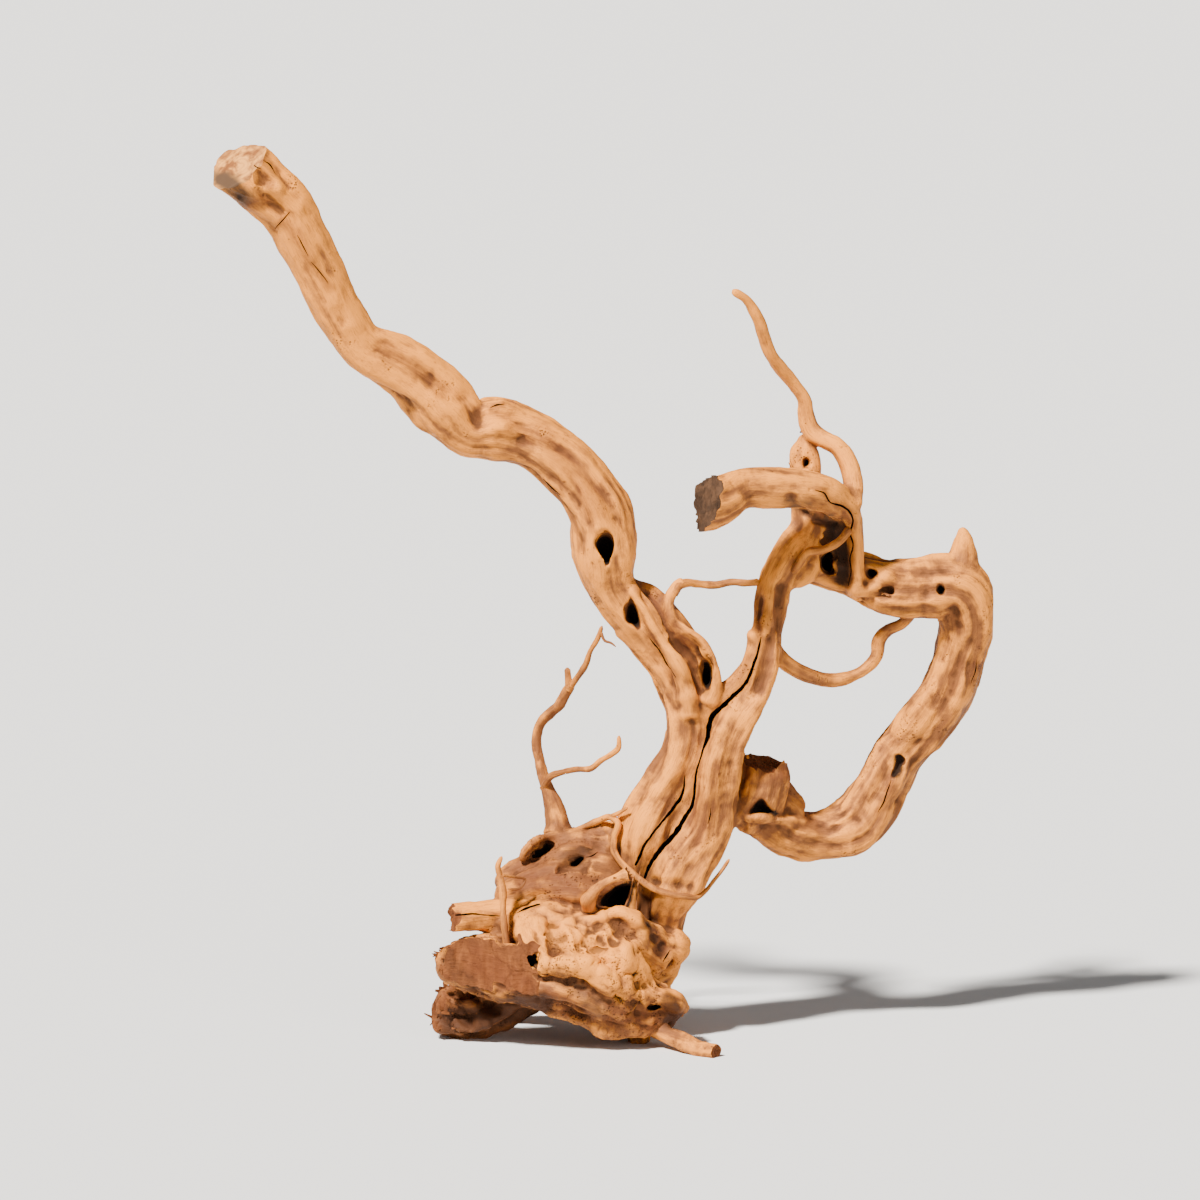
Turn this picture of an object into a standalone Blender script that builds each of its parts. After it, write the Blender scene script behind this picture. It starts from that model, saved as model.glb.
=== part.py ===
"""Aquarium driftwood root: one sun-bleached root crown with a forked trunk, a long sawn arm,
a looped limb that grows back into the fork, broken stubs and thin rootlets.

The wood grew as one piece, so it is one closed solid. Stout limbs are swept along curves, fused by a
voxel remesh, smoothed and thinned. Cracks and rot holes are then cut out and the thin rootlets joined on.

Every station is (x, y, height, radius) in millimetres: x to the right, y away from the front. Heights
are read along a line of sight that dips by SIGHT_DIP, so stand_up() turns them into true heights above
the ground the root stands on.
"""

from math import cos, radians, sin

import bmesh
import bpy
from mathutils import Matrix, Vector

MM = 0.001
SIGHT_DIP = radians(8.0)

WOOD_COLOUR = (0.62, 0.40, 0.22, 1.0)
WOOD_ROUGHNESS = 0.75

FUSE_VOXEL = 2.2 * MM
FUSE_SMOOTHING = 6
SMOOTHING_STRENGTH = 0.5
BODY_TRIANGLES = 7600
WELD_DISTANCE = 0.01 * MM

# Sides round a sweep, and steps along it between two stations.
LIMB_SIDES = 14
LIMB_SPANS = 4
ROOTLET_SIDES = 6
ROOTLET_SPANS = 2

BURL_SUBDIVISIONS = 3
HOLLOW_SUBDIVISIONS = 2

# A crack's width at its mouth and at its root, against the width at its station.
CRACK_MOUTH = 1.6
CRACK_ROOT = 0.3

# The ends of the arm and of the crook run on past their saw and break planes, which trim them.
LIMBS = {
    "long_arm": [
        (28, 2, 199, 10.5), (16, -2, 214, 11.7), (5, -6, 230, 13.2), (2.5, -9, 247, 17), (0, -11, 264, 16.4),
        (-9, -12, 281, 15), (-26, -14, 297, 15), (-43, -17, 304.5, 14.6), (-53, -19, 306.5, 15.6),
        (-66, -22, 306.5, 13.3), (-76.5, -25, 317, 15.8), (-91, -30, 331.5, 14.8),
        (-106, -35, 341, 13.6), (-118.5, -40, 348, 11.6), (-128, -45, 362.5, 12), (-136, -49, 379, 12.3),
        (-145.5, -54, 398, 13), (-155, -59, 416, 13.6), (-168, -64, 427, 14.8), (-188, -73, 441, 17),
    ],
    "left_strand": [
        (16, -2, 213, 11), (28, 2, 198, 10.5), (39, 4, 180, 11.5), (46, 5, 163, 13), (43.5, 6, 146, 13),
        (33, 7, 127, 14), (22, 8, 108, 14), (18, 10, 91, 12), (13, 12, 73.5, 13), (5, 12, 55, 15),
    ],
    "right_strand": [
        (103, 10, 284, 7.4), (104, 8, 256, 9.8), (96.5, 6, 247, 9.5), (86, 4, 226, 8.3),
        (84.5, 2, 210, 7.6), (83, 0, 195, 8), (77.5, -1, 176, 8.3), (67, -2, 160, 9.3),
        (61, -1, 145, 10.4), (58, 1, 126, 10.8), (53.5, 4, 107, 13.5), (43, 5, 91, 14),
        (36, 6, 75, 13.5), (31, 10, 58.5, 10.8), (27, 10, 41, 12.5), (20, 2, 25, 10),
    ],
    "back_strand": [
        (50, 14, 176, 9), (51, 20, 151, 12.5), (46, 23, 126, 14), (36, 25, 101, 15), (28, 25, 76, 16),
        (20, 22, 51, 18),
    ],
    "middle_strip": [
        (47.5, 2, 141, 4.5), (45, 3, 123.5, 5), (36.5, 4, 106, 5), (27.5, 6, 92, 5), (21.5, 8, 78.5, 5),
    ],
    "inner_fork": [
        (80, 0, 208, 4), (78, -2, 200, 4.6), (73.5, -3, 188.5, 5), (66.5, -3, 178.5, 5.5), (56, 0, 171, 7),
        (50, 2, 161, 8), (48.5, 5, 147, 6),
    ],
    "ear_front": [
        (12, -6, 230, 4), (22.5, -8, 218.5, 5), (28, -9, 208.5, 5), (34, -9, 197, 5.2), (40, -8, 187, 5),
        (45, -5, 174, 5),
    ],
    "ear_back": [
        (14, 2, 228, 5), (25, 3, 223, 6.2), (34, 3, 213.5, 7), (42.5, 3, 203, 7.5), (50, 4, 193, 7),
        (53, 5, 181, 7), (50, 5, 167, 8),
    ],
    "ear_rim": [
        (36, -2, 224, 3), (34, -5, 218, 3.6), (37.5, -6, 211.5, 3.6), (46, -6, 205.5, 3.5),
        (53, -6, 198.5, 3.4), (57, -5, 189.5, 3.3), (58.5, -3, 180, 3.6), (57, 0, 171, 4.5),
    ],
    "loop": [
        (62, 14, 122, 9), (80, 22, 114.5, 11.5), (96, 30, 105.5, 12.5), (111, 36, 103, 12.2),
        (127.5, 40, 107, 14.6), (141, 43, 126, 14.2), (150.5, 44, 143.5, 12.9), (163, 42, 159, 14),
        (174.5, 38, 176, 13.6), (180.5, 34, 195, 12.6), (184, 30, 212, 14), (179, 27, 226, 16),
        (162, 24, 228, 15.2), (146.5, 21, 228.5, 14.6), (131, 18, 234, 12.5), (115, 15, 238, 10.5),
        (99, 11, 241, 9),
    ],
    "loop_stump": [(74, 16, 112, 11), (81.5, 17, 126, 13), (82, 19, 146, 11.5)],
    "loop_spur": [(179, 28, 232, 11), (182.5, 27, 244, 7.5), (183, 27, 251, 5), (182.5, 27, 257.5, 2.6)],
    "crook": [
        (130, 12, 226, 6), (127.5, 5, 236, 5.6), (126.5, 1, 248.5, 5.8), (125, -3, 260, 6.6),
        (121, -8, 268.5, 8.6), (114, -14, 273.5, 9.8), (100, -21, 276.5, 10), (85, -28, 277.5, 10),
        (70, -34, 277.5, 10), (59, -40, 272, 12.8), (42, -49, 270, 14),
    ],
    "crook_web": [(119, 2, 264, 6), (121, 10, 249, 6), (121, 14, 233, 6)],
    "crook_root": [(94, 8, 231, 4), (102, 6, 233.5, 5), (107.5, 6, 241, 4.5), (111, 6, 250, 4)],
    "top_knob": [(103, 10, 278, 7), (103, 13, 291, 8), (102.5, 14, 299, 6.5), (102, 14, 303, 3)],
    "tall_twig": [
        (125, -5, 270, 6.4), (126, -1, 281, 5.2), (123, 3, 292, 5), (118.5, 5, 298.5, 4.6),
        (112, 7, 302, 4.5), (105.5, 9, 307, 4.7), (103, 9, 314, 4.6), (102.5, 8, 321, 4.2),
        (96, 5, 330.5, 4.1), (90, 0, 337, 4.2), (85, -5, 344, 4.3), (81.5, -9, 352.5, 4.1),
        (78.5, -13, 361, 4.1), (75, -16, 367, 3.8), (72, -19, 371, 3.4), (65, -22, 374.5, 2.8),
    ],
    "cross_root": [
        (84, 5, 202, 4.6), (91, 8, 192, 4.5), (100, 12, 185.5, 4.3), (105.5, 14, 183.2, 4.2),
        (115, 18, 181, 4.2), (126, 22, 183, 4.2), (134, 24, 187.5, 4.2), (139.5, 25, 194, 4.2),
        (140.5, 25, 201.5, 4.1), (145, 24, 206.5, 3.8), (152, 23, 209.5, 3.8), (158, 23, 218, 3.8),
    ],
    "left_twig": [
        (-22, 16, 98, 6.2), (-21.5, 18, 109.5, 6), (-24, 20, 119.5, 4.8), (-27.5, 22, 130, 4.2),
        (-30.5, 25, 141, 3.8), (-32, 27, 149.5, 3.5), (-31.5, 27, 156, 3.4), (-29.5, 26, 161, 3.5),
        (-25, 25, 165.5, 3.7), (-21.5, 23, 168.5, 3.8), (-18.5, 22, 174, 3.6), (-14.5, 19, 180, 3.2),
    ],
    "upper_lobe": [
        (20, 18, 74, 14), (2.5, 14, 86, 17), (-15, 12, 88, 17.5), (-31, 12, 84.5, 13), (-47, 8, 77.5, 9.5),
    ],
    "lobe_lip": [(-12, 20, 104, 3.5), (-22, 16, 104, 3), (-34, 10, 99, 2.6), (-38, 6, 93, 2.6)],
    "left_stub": [(-27.5, -4, 65, 9), (-45, -8, 65, 7.5), (-60, -12, 63.5, 7.2), (-78, -17, 62, 6.8)],
    "brow": [
        (-49, -10, 52, 8.5), (-34, -18, 57.5, 13), (-15, -24, 53.5, 16), (2.5, -24, 51, 15),
        (17.5, -16, 46, 12.5), (28, -2, 41, 12),
    ],
    "shelf": [
        (-77, -12, 38.5, 8.5), (-70, -14, 39.5, 12), (-59, -18, 39, 14.5), (-40, -23, 36, 15.5),
        (-20, -26, 31, 14), (0, -26, 25, 14.5), (20, -17, 20, 13), (36, -10, 17, 8),
    ],
    "core": [(-38, 8, 52, 16), (-20, 8, 50, 20), (0, 8, 46, 22), (18, 12, 40, 20), (17, 12, 26, 13)],
    "heel": [(3, -20, 20, 9), (3, -22, 6, 7)],
    "keel": [(12, -3, 16, 9), (18, -2, 6, 6.5), (20, -1, -2, 4.5)],
    "left_foot": [
        (-18, 0, 34, 10), (-38, 4, 27, 10), (-53, 8, 18, 11.5), (-66, 10, 13.5, 13.5), (-78, 11, 16.5, 12.5),
    ],
    "back_left_foot": [
        (-22, 20, 46, 14), (-37, 38, 33, 11), (-48, 50, 20, 9), (-54, 59, 13.5, 8), (-58, 65, 9, 7),
    ],
    "back_right_foot": [(20, 22, 32, 15), (24, 42, 24, 11), (28, 58, 16.5, 9), (31, 70, 13, 7.5)],
    "twig_foot": [
        (18, -8, 12, 6), (27.5, -17, 6.5, 4.8), (40, -28, 1.4, 4.2), (50, -38, -2.2, 4.3),
        (58.5, -45, -3.6, 4.7),
    ],
    "broken_spur": [
        (-2, -8, 64, 4.5), (-4, -9, 71, 4.2), (2, -10, 78, 4), (9, -11, 81.5, 4.2), (14, -11, 82.5, 4.5),
    ],
}

# Burls and knuckles: (x, y, height, radius).
BURLS = [
    (3, 13, 100, 11), (-80, -27, 328, 10), (-50, -22, 315, 7), (76, -4, 203, 4.6), (33, 8, 47, 10.5),
    (30, 6, 37, 9), (78, 20, 137, 11), (-33, -30, 43, 9),
]

# Rootlets are too thin to survive the remesh, so they are joined on afterwards.
ROOTLETS = {
    "bridge": [
        (38, -2, 226, 2.8), (41, 0, 228, 2.4), (48.5, 2, 229.5, 2.1), (57.5, 4, 229.5, 2.1),
        (66.5, 5, 231, 1.9), (72.5, 5, 230.5, 1.9), (80, 4, 231, 2),
    ],
    "strap": [
        (97, -2, 238, 2), (104, -5, 246, 2.2), (111, -7, 247, 2.2), (119, -7, 251, 2.1), (125, -5, 258, 2.5),
    ],
    "left_twig_tip": [
        (-16, 19.5, 177, 2), (-11.5, 17, 183, 1.6), (-7, 14, 190, 1.7), (-5, 12, 196, 1.3),
        (-1, 10, 203, 1.3), (1, 9, 209, 1),
    ],
    "left_twig_stub": [(-15.5, 19, 178, 2), (-16.5, 18, 188, 1.4)],
    "side_twig": [
        (-29, 21, 127, 1.6), (-24.5, 15, 133.5, 1.9), (-19, 11, 135.5, 1.6), (-12, 8, 137, 1.5),
        (-4.5, 5, 137.5, 1.6), (0.5, 3, 141.5, 1.5), (5.5, 1, 144.5, 1.6), (9, 0, 147.5, 1.6),
        (9.5, -1, 154, 1),
    ],
    "collar_root": [
        (-20, 17, 103, 2), (-10, 14, 107, 1.6), (-1, 9, 111, 1.8), (5, 4, 113, 1.6), (9, 0, 110, 1.8),
        (7, 1, 103, 1.7), (7, 1, 96, 1.7), (10, -1, 91, 1.7), (15, -3, 86, 1.8), (22.5, -5, 80, 1.9),
        (30, -7.5, 76, 1.9), (40, -6, 74, 1.6), (48.5, 0, 72, 1.5), (53, 2, 75, 1.1), (57, 2, 81, 1),
        (61, 2, 86, 1), (65, 2, 92, 0.9),
    ],
    "upright_root": [
        (-46, -26, 46, 1.9), (-48, -26, 61, 1.7), (-48.5, -25, 71, 1.6), (-48.5, -25, 76, 2),
        (-50, -24, 84, 1.6), (-51, -24, 89, 1.4), (-49, -24, 94, 0.9),
    ],
}

# Rot holes: (x, y, height) of the middle, (half width, half depth, half height), tilt in degrees.
HOLLOWS = {
    "arm_hole": ((2, -24, 250), (4.3, 13, 7), 0),
    "arm_hole_tail": ((4, -21, 240), (2.2, 10, 7), 6),
    "neck_hole": ((16, -15, 212), (3.4, 11, 8.6), -18),
    "ear_hole": ((53, -4, 184), (3, 12, 8), 0),
    "lobe_hole": ((-13, -3, 91.5), (6, 9, 4.2), 25),
    "lip_hole": ((-30, 2, 96), (7.5, 11, 4.5), 32),
    "dark_cave": ((8, -8, 73), (9, 16, 6), 28),
    "brow_hole": ((26, -16, 51), (4, 10, 6), 0),
    "shelf_hole": ((9, -32, 23.5), (4.5, 10, 3.6), 10),
    "shelf_slot": ((26, -24, 18), (5.5, 10, 2.6), 5),
    "knob_hole": ((104, 6, 289), (3.6, 6, 4.2), 0),
    "beam_hole": ((169, 10, 226), (2.8, 7, 3.7), 0),
    "beam_pocket": ((136, 7, 234), (3.4, 6, 3.2), -30),
    "web_hole": ((112, 4, 242), (4, 9, 5), 0),
}

# Drying cracks: (x, front y, height, width) along each crack, and how deep it runs back.
CRACKS = {
    "main_crack": (13, [
        (79.5, -9, 201, 1.2), (77, -10, 193, 1.8), (73.5, -12, 183, 2.2), (69.5, -12, 175, 2.6),
        (63, -12, 169.5, 2.8), (57, -12, 163.5, 2.9), (53.5, -12, 155, 2.6), (51, -12, 147, 2.2),
        (50, -11, 140, 1.8), (48, -10, 128, 1.8), (46, -10, 118, 2.2), (42, -10, 108.5, 3),
        (34, -9, 99, 3.8), (27.5, -8, 90, 4.4), (23, -6, 81, 4.4),
    ]),
    "side_crack": (14, [
        (43, -8, 133, 1), (42, -7, 127, 1.8), (38, -6, 119.5, 2), (31, -4, 110, 1.8), (24, -2, 102, 1.8),
        (20, 0, 94, 2), (17, 2, 86, 2.2),
    ]),
    "crook_crack": (9, [
        (110, -24, 274, 1), (117, -23, 269, 1.5), (122.5, -18, 266, 1.7), (126, -12, 261, 1.8),
        (126, -9, 252, 1.7), (125, -8, 240, 1.6), (125, -4, 230, 1.4),
    ]),
}

# Saw and break planes: a point on the plane, the way the lost wood went, and the half size of the cut.
CUTS = {
    "arm_saw_cut": ((-178, -65, 432.5), (-0.5, -0.62, 0.6), 26),
    "crook_break": ((53, -43, 270), (-0.84, -0.5, 0.2), 24),
    "left_stub_break": ((-74, -17, 62), (-1, -0.2, 0), 14),
    "stump_break": ((80, 19, 141), (0.15, -0.1, 1), 20),
}

GROUND_BLOCK = 300.0


def stand_up(x, y, height):
    """The true place of a sighted station: depth lifts a point in the sight line, so it is taken off."""
    return Vector((x, y, (height - y * sin(SIGHT_DIP)) / cos(SIGHT_DIP))) * MM


def new_collection(name):
    collection = bpy.data.collections.new(name)
    bpy.context.scene.collection.children.link(collection)
    return collection


def swept(name, stations, sides, spans):
    """A limb as a closed mesh: a smooth curve through the stations, bevelled to their radii."""
    curve = bpy.data.curves.new(name, "CURVE")
    curve.dimensions = "3D"
    curve.bevel_depth = MM
    curve.bevel_resolution = max(0, sides // 2 - 2)
    curve.use_fill_caps = True
    curve.resolution_u = spans
    spline = curve.splines.new("BEZIER")
    spline.radius_interpolation = "CARDINAL"
    spline.bezier_points.add(len(stations) - 1)
    for point, (x, y, height, radius) in zip(spline.bezier_points, stations):
        point.co = stand_up(x, y, height)
        point.radius = radius
        point.handle_left_type = point.handle_right_type = "AUTO"
    guide = bpy.data.objects.new(name, curve)
    bpy.context.scene.collection.objects.link(guide)
    graph = bpy.context.evaluated_depsgraph_get()
    mesh = bpy.data.meshes.new_from_object(guide.evaluated_get(graph))
    bpy.data.objects.remove(guide)
    welded = bmesh.new()
    welded.from_mesh(mesh)
    bmesh.ops.remove_doubles(welded, verts=welded.verts, dist=WELD_DISTANCE)
    bmesh.ops.recalc_face_normals(welded, faces=welded.faces)
    welded.to_mesh(mesh)
    welded.free()
    return mesh


def joined(name, meshes):
    """One mesh holding all of these, still overlapping."""
    whole = bmesh.new()
    for mesh in meshes:
        whole.from_mesh(mesh)
        bpy.data.meshes.remove(mesh)
    result = bpy.data.meshes.new(name)
    whole.to_mesh(result)
    whole.free()
    return result


def ball(name, place, sizes, tilt, subdivisions):
    """An ellipsoid at a sighted place, turned in the sighted plane."""
    shape = bmesh.new()
    matrix = (
        Matrix.Translation(stand_up(*place))
        @ Matrix.Rotation(radians(-tilt), 4, "Y")
        @ Matrix.Diagonal((*(size * MM for size in sizes), 1.0))
    )
    bmesh.ops.create_icosphere(shape, subdivisions=subdivisions, radius=1.0, matrix=matrix)
    mesh = bpy.data.meshes.new(name)
    shape.to_mesh(mesh)
    shape.free()
    return mesh


def blade(name, depth, stations):
    """A wedge that runs along a crack: open at the front and closing to an edge at its depth."""
    shape = bmesh.new()
    rows = []
    for i, (x, y, height, width) in enumerate(stations):
        before = stand_up(*stations[max(i - 1, 0)][:3])
        after = stand_up(*stations[min(i + 1, len(stations) - 1)][:3])
        along = after - before
        across = Vector((along.z, 0, -along.x)).normalized() * width * MM / 2
        front = stand_up(x, y, height)
        back = front + Vector((0, depth * MM, 0))
        rows.append([
            shape.verts.new(front + across * CRACK_MOUTH), shape.verts.new(back + across * CRACK_ROOT),
            shape.verts.new(back - across * CRACK_ROOT), shape.verts.new(front - across * CRACK_MOUTH),
        ])
    for a, b in zip(rows, rows[1:]):
        for i in range(4):
            j = (i + 1) % 4
            shape.faces.new((a[i], a[j], b[j], b[i]))
    shape.faces.new(rows[0][::-1])
    shape.faces.new(rows[-1])
    bmesh.ops.recalc_face_normals(shape, faces=shape.faces)
    bmesh.ops.triangulate(shape, faces=shape.faces)
    mesh = bpy.data.meshes.new(name)
    shape.to_mesh(mesh)
    shape.free()
    return mesh


def saw_block(name, place, direction, half):
    """A block whose inner face lies in the cut plane."""
    shape = bmesh.new()
    turn = Vector(direction).normalized().to_track_quat("Z", "Y").to_matrix().to_4x4()
    matrix = (
        Matrix.Translation(stand_up(*place)) @ turn @ Matrix.Translation((0, 0, half * MM))
        @ Matrix.Scale(2 * half * MM, 4)
    )
    bmesh.ops.create_cube(shape, size=1.0, matrix=matrix)
    mesh = bpy.data.meshes.new(name)
    shape.to_mesh(mesh)
    shape.free()
    return mesh


def ground_block():
    """What lies below the ground, which trims the feet flat."""
    shape = bmesh.new()
    matrix = Matrix.Translation((0, 0, -GROUND_BLOCK * MM / 2)) @ Matrix.Scale(GROUND_BLOCK * MM, 4)
    bmesh.ops.create_cube(shape, size=1.0, matrix=matrix)
    mesh = bpy.data.meshes.new("ground")
    shape.to_mesh(mesh)
    shape.free()
    return mesh


def add_object(name, mesh, collection):
    item = bpy.data.objects.new(name, mesh)
    collection.objects.link(item)
    return item


def apply_modifiers(item):
    """The object's mesh as its modifiers leave it."""
    graph = bpy.context.evaluated_depsgraph_get()
    mesh = bpy.data.meshes.new_from_object(item.evaluated_get(graph))
    item.modifiers.clear()
    item.data = mesh


def fuse(item):
    """Melts the overlapping limbs into one skin."""
    remesh = item.modifiers.new("fuse", "REMESH")
    remesh.mode = "VOXEL"
    remesh.voxel_size = FUSE_VOXEL
    smooth = item.modifiers.new("soften", "SMOOTH")
    smooth.factor = SMOOTHING_STRENGTH
    smooth.iterations = FUSE_SMOOTHING
    apply_modifiers(item)
    item.data.calc_loop_triangles()
    thin = item.modifiers.new("thin", "DECIMATE")
    thin.ratio = BODY_TRIANGLES / len(item.data.loop_triangles)
    thin.use_collapse_triangulate = True
    apply_modifiers(item)


def boolean(item, operation, collection):
    """Cuts or joins a whole collection, then removes it."""
    step = item.modifiers.new(operation.lower(), "BOOLEAN")
    step.operation = operation
    step.operand_type = "COLLECTION"
    step.collection = collection
    step.solver = "MANIFOLD"
    apply_modifiers(item)
    for other in list(collection.objects):
        bpy.data.objects.remove(other)
    bpy.data.collections.remove(collection)


def centre(item):
    """Moves the wood so that the middle of its outline stands over the origin."""
    xs = [vertex.co.x for vertex in item.data.vertices]
    ys = [vertex.co.y for vertex in item.data.vertices]
    middle = Vector(((min(xs) + max(xs)) / 2, (min(ys) + max(ys)) / 2, 0))
    item.data.transform(Matrix.Translation(-middle))


def wood():
    material = bpy.data.materials.new("driftwood")
    material.use_nodes = True
    shader = material.node_tree.nodes["Principled BSDF"]
    shader.inputs["Base Color"].default_value = WOOD_COLOUR
    shader.inputs["Roughness"].default_value = WOOD_ROUGHNESS
    return material


def build():
    for item in list(bpy.data.objects):
        bpy.data.objects.remove(item)
    parts = new_collection("driftwood")
    limbs = [swept(name, stations, LIMB_SIDES, LIMB_SPANS) for name, stations in LIMBS.items()]
    burls = [ball("burl", (x, y, v), (r, r, r), 0, BURL_SUBDIVISIONS) for x, y, v, r in BURLS]
    root = add_object("driftwood_root", joined("driftwood_root", limbs + burls), parts)
    fuse(root)
    twigs = new_collection("rootlets")
    for name, stations in ROOTLETS.items():
        add_object(name, swept(name, stations, ROOTLET_SIDES, ROOTLET_SPANS), twigs)
    boolean(root, "UNION", twigs)
    lost = new_collection("lost_wood")
    for name, (place, sizes, tilt) in HOLLOWS.items():
        add_object(name, ball(name, place, sizes, tilt, HOLLOW_SUBDIVISIONS), lost)
    for name, (depth, stations) in CRACKS.items():
        add_object(name, blade(name, depth, stations), lost)
    for name, (place, direction, half) in CUTS.items():
        add_object(name, saw_block(name, place, direction, half), lost)
    add_object("ground", ground_block(), lost)
    boolean(root, "DIFFERENCE", lost)
    centre(root)
    root.data.materials.clear()
    root.data.materials.append(wood())
    root.data.shade_smooth()


build()
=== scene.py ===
"""Looks of the aquarium driftwood root: the grown skin, its grain, cracks, hollows, rootlets and splinters.

The skin is swept along the same limbs as the solid, at a finer scale, then fused, hollowed, weathered and
cracked. Lengths are in millimetres, and MM turns them into metres. Stations are (x, y, height, radius).
Heights are read along a line of sight that dips by DIP, so stand() turns them into true heights above the
ground. Marks drawn in the plane of the picture are in its own 1200 x 1200 points, and touch only wood that
is seen from the camera.
"""

from itertools import chain, product
from math import cos, radians, sin, tau
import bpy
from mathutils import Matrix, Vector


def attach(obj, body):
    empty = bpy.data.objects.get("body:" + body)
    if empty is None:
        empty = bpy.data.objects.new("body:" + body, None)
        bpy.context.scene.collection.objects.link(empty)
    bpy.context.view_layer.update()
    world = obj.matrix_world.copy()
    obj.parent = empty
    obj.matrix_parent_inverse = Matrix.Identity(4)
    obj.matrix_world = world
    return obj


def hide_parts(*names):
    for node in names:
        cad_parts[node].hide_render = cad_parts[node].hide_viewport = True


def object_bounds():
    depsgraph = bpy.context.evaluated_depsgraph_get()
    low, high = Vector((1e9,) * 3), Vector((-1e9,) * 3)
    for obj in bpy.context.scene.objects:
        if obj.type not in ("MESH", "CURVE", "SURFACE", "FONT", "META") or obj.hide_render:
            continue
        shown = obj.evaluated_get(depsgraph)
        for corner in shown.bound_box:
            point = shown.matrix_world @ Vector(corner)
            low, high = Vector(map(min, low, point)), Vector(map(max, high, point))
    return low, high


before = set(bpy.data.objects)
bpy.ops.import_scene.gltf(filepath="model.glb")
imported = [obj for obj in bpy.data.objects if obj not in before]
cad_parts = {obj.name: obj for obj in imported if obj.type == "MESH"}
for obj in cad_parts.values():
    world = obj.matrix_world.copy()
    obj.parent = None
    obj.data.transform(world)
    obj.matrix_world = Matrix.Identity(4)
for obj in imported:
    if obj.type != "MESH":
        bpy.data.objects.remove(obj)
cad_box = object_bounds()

from types import SimpleNamespace

import bmesh
import bpy
import numpy as np
from mathutils import Vector
from mathutils.bvhtree import BVHTree

MM = 0.001

# Camera: how far it looks down, the height it looks at, and the picture's width there.
DIP = radians(8.0)
AIM_HEIGHT = 222
CAMERA_DISTANCE = 5000.0
FRAME_WIDTH = 600.0
SENSOR = 36.0
POINTS_PER_MM = 2.0
PICTURE_MIDDLE = 600

# Where the stations' zero lies in the part's frame.
MIDDLE = np.array((-4.039, 3.511, 0.0))

# Voxels of the fused limbs and of the hollowed wood, and how many triangles the skin keeps.
SKIN_VOXEL = 0.9
FINE_VOXEL = 0.75
SKIN_TRIANGLES = 170_000

# How far inside the solid's box the skin stays.
BOX_MARGIN = 0.1

# Kinds of face, in the order of the materials.
FACE_KINDS = WOOD, CRACKED, SAWN, TORN, GREYED = range(5)

SIGHT = np.array((0.0, cos(DIP), -sin(DIP)))
SIGHT_UP = np.array((0.0, sin(DIP), cos(DIP)))


def stand(stations):
    """True places of sighted stations, in millimetres."""
    a = np.asarray(stations, float)
    true_height = (a[:, 2] - a[:, 1] * sin(DIP)) / cos(DIP)
    return np.column_stack((a[:, 0], a[:, 1], true_height)) + MIDDLE


AIM = stand([(0, 0, AIM_HEIGHT)])[0]
EYE = AIM - SIGHT * CAMERA_DISTANCE


def picture(points):
    """Where true places fall in the 1200 x 1200 picture."""
    rel = points - EYE
    scale = POINTS_PER_MM * CAMERA_DISTANCE / (rel @ SIGHT)
    return np.column_stack((PICTURE_MIDDLE + rel[:, 0] * scale, PICTURE_MIDDLE - (rel @ SIGHT_UP) * scale))


# Limbs

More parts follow.
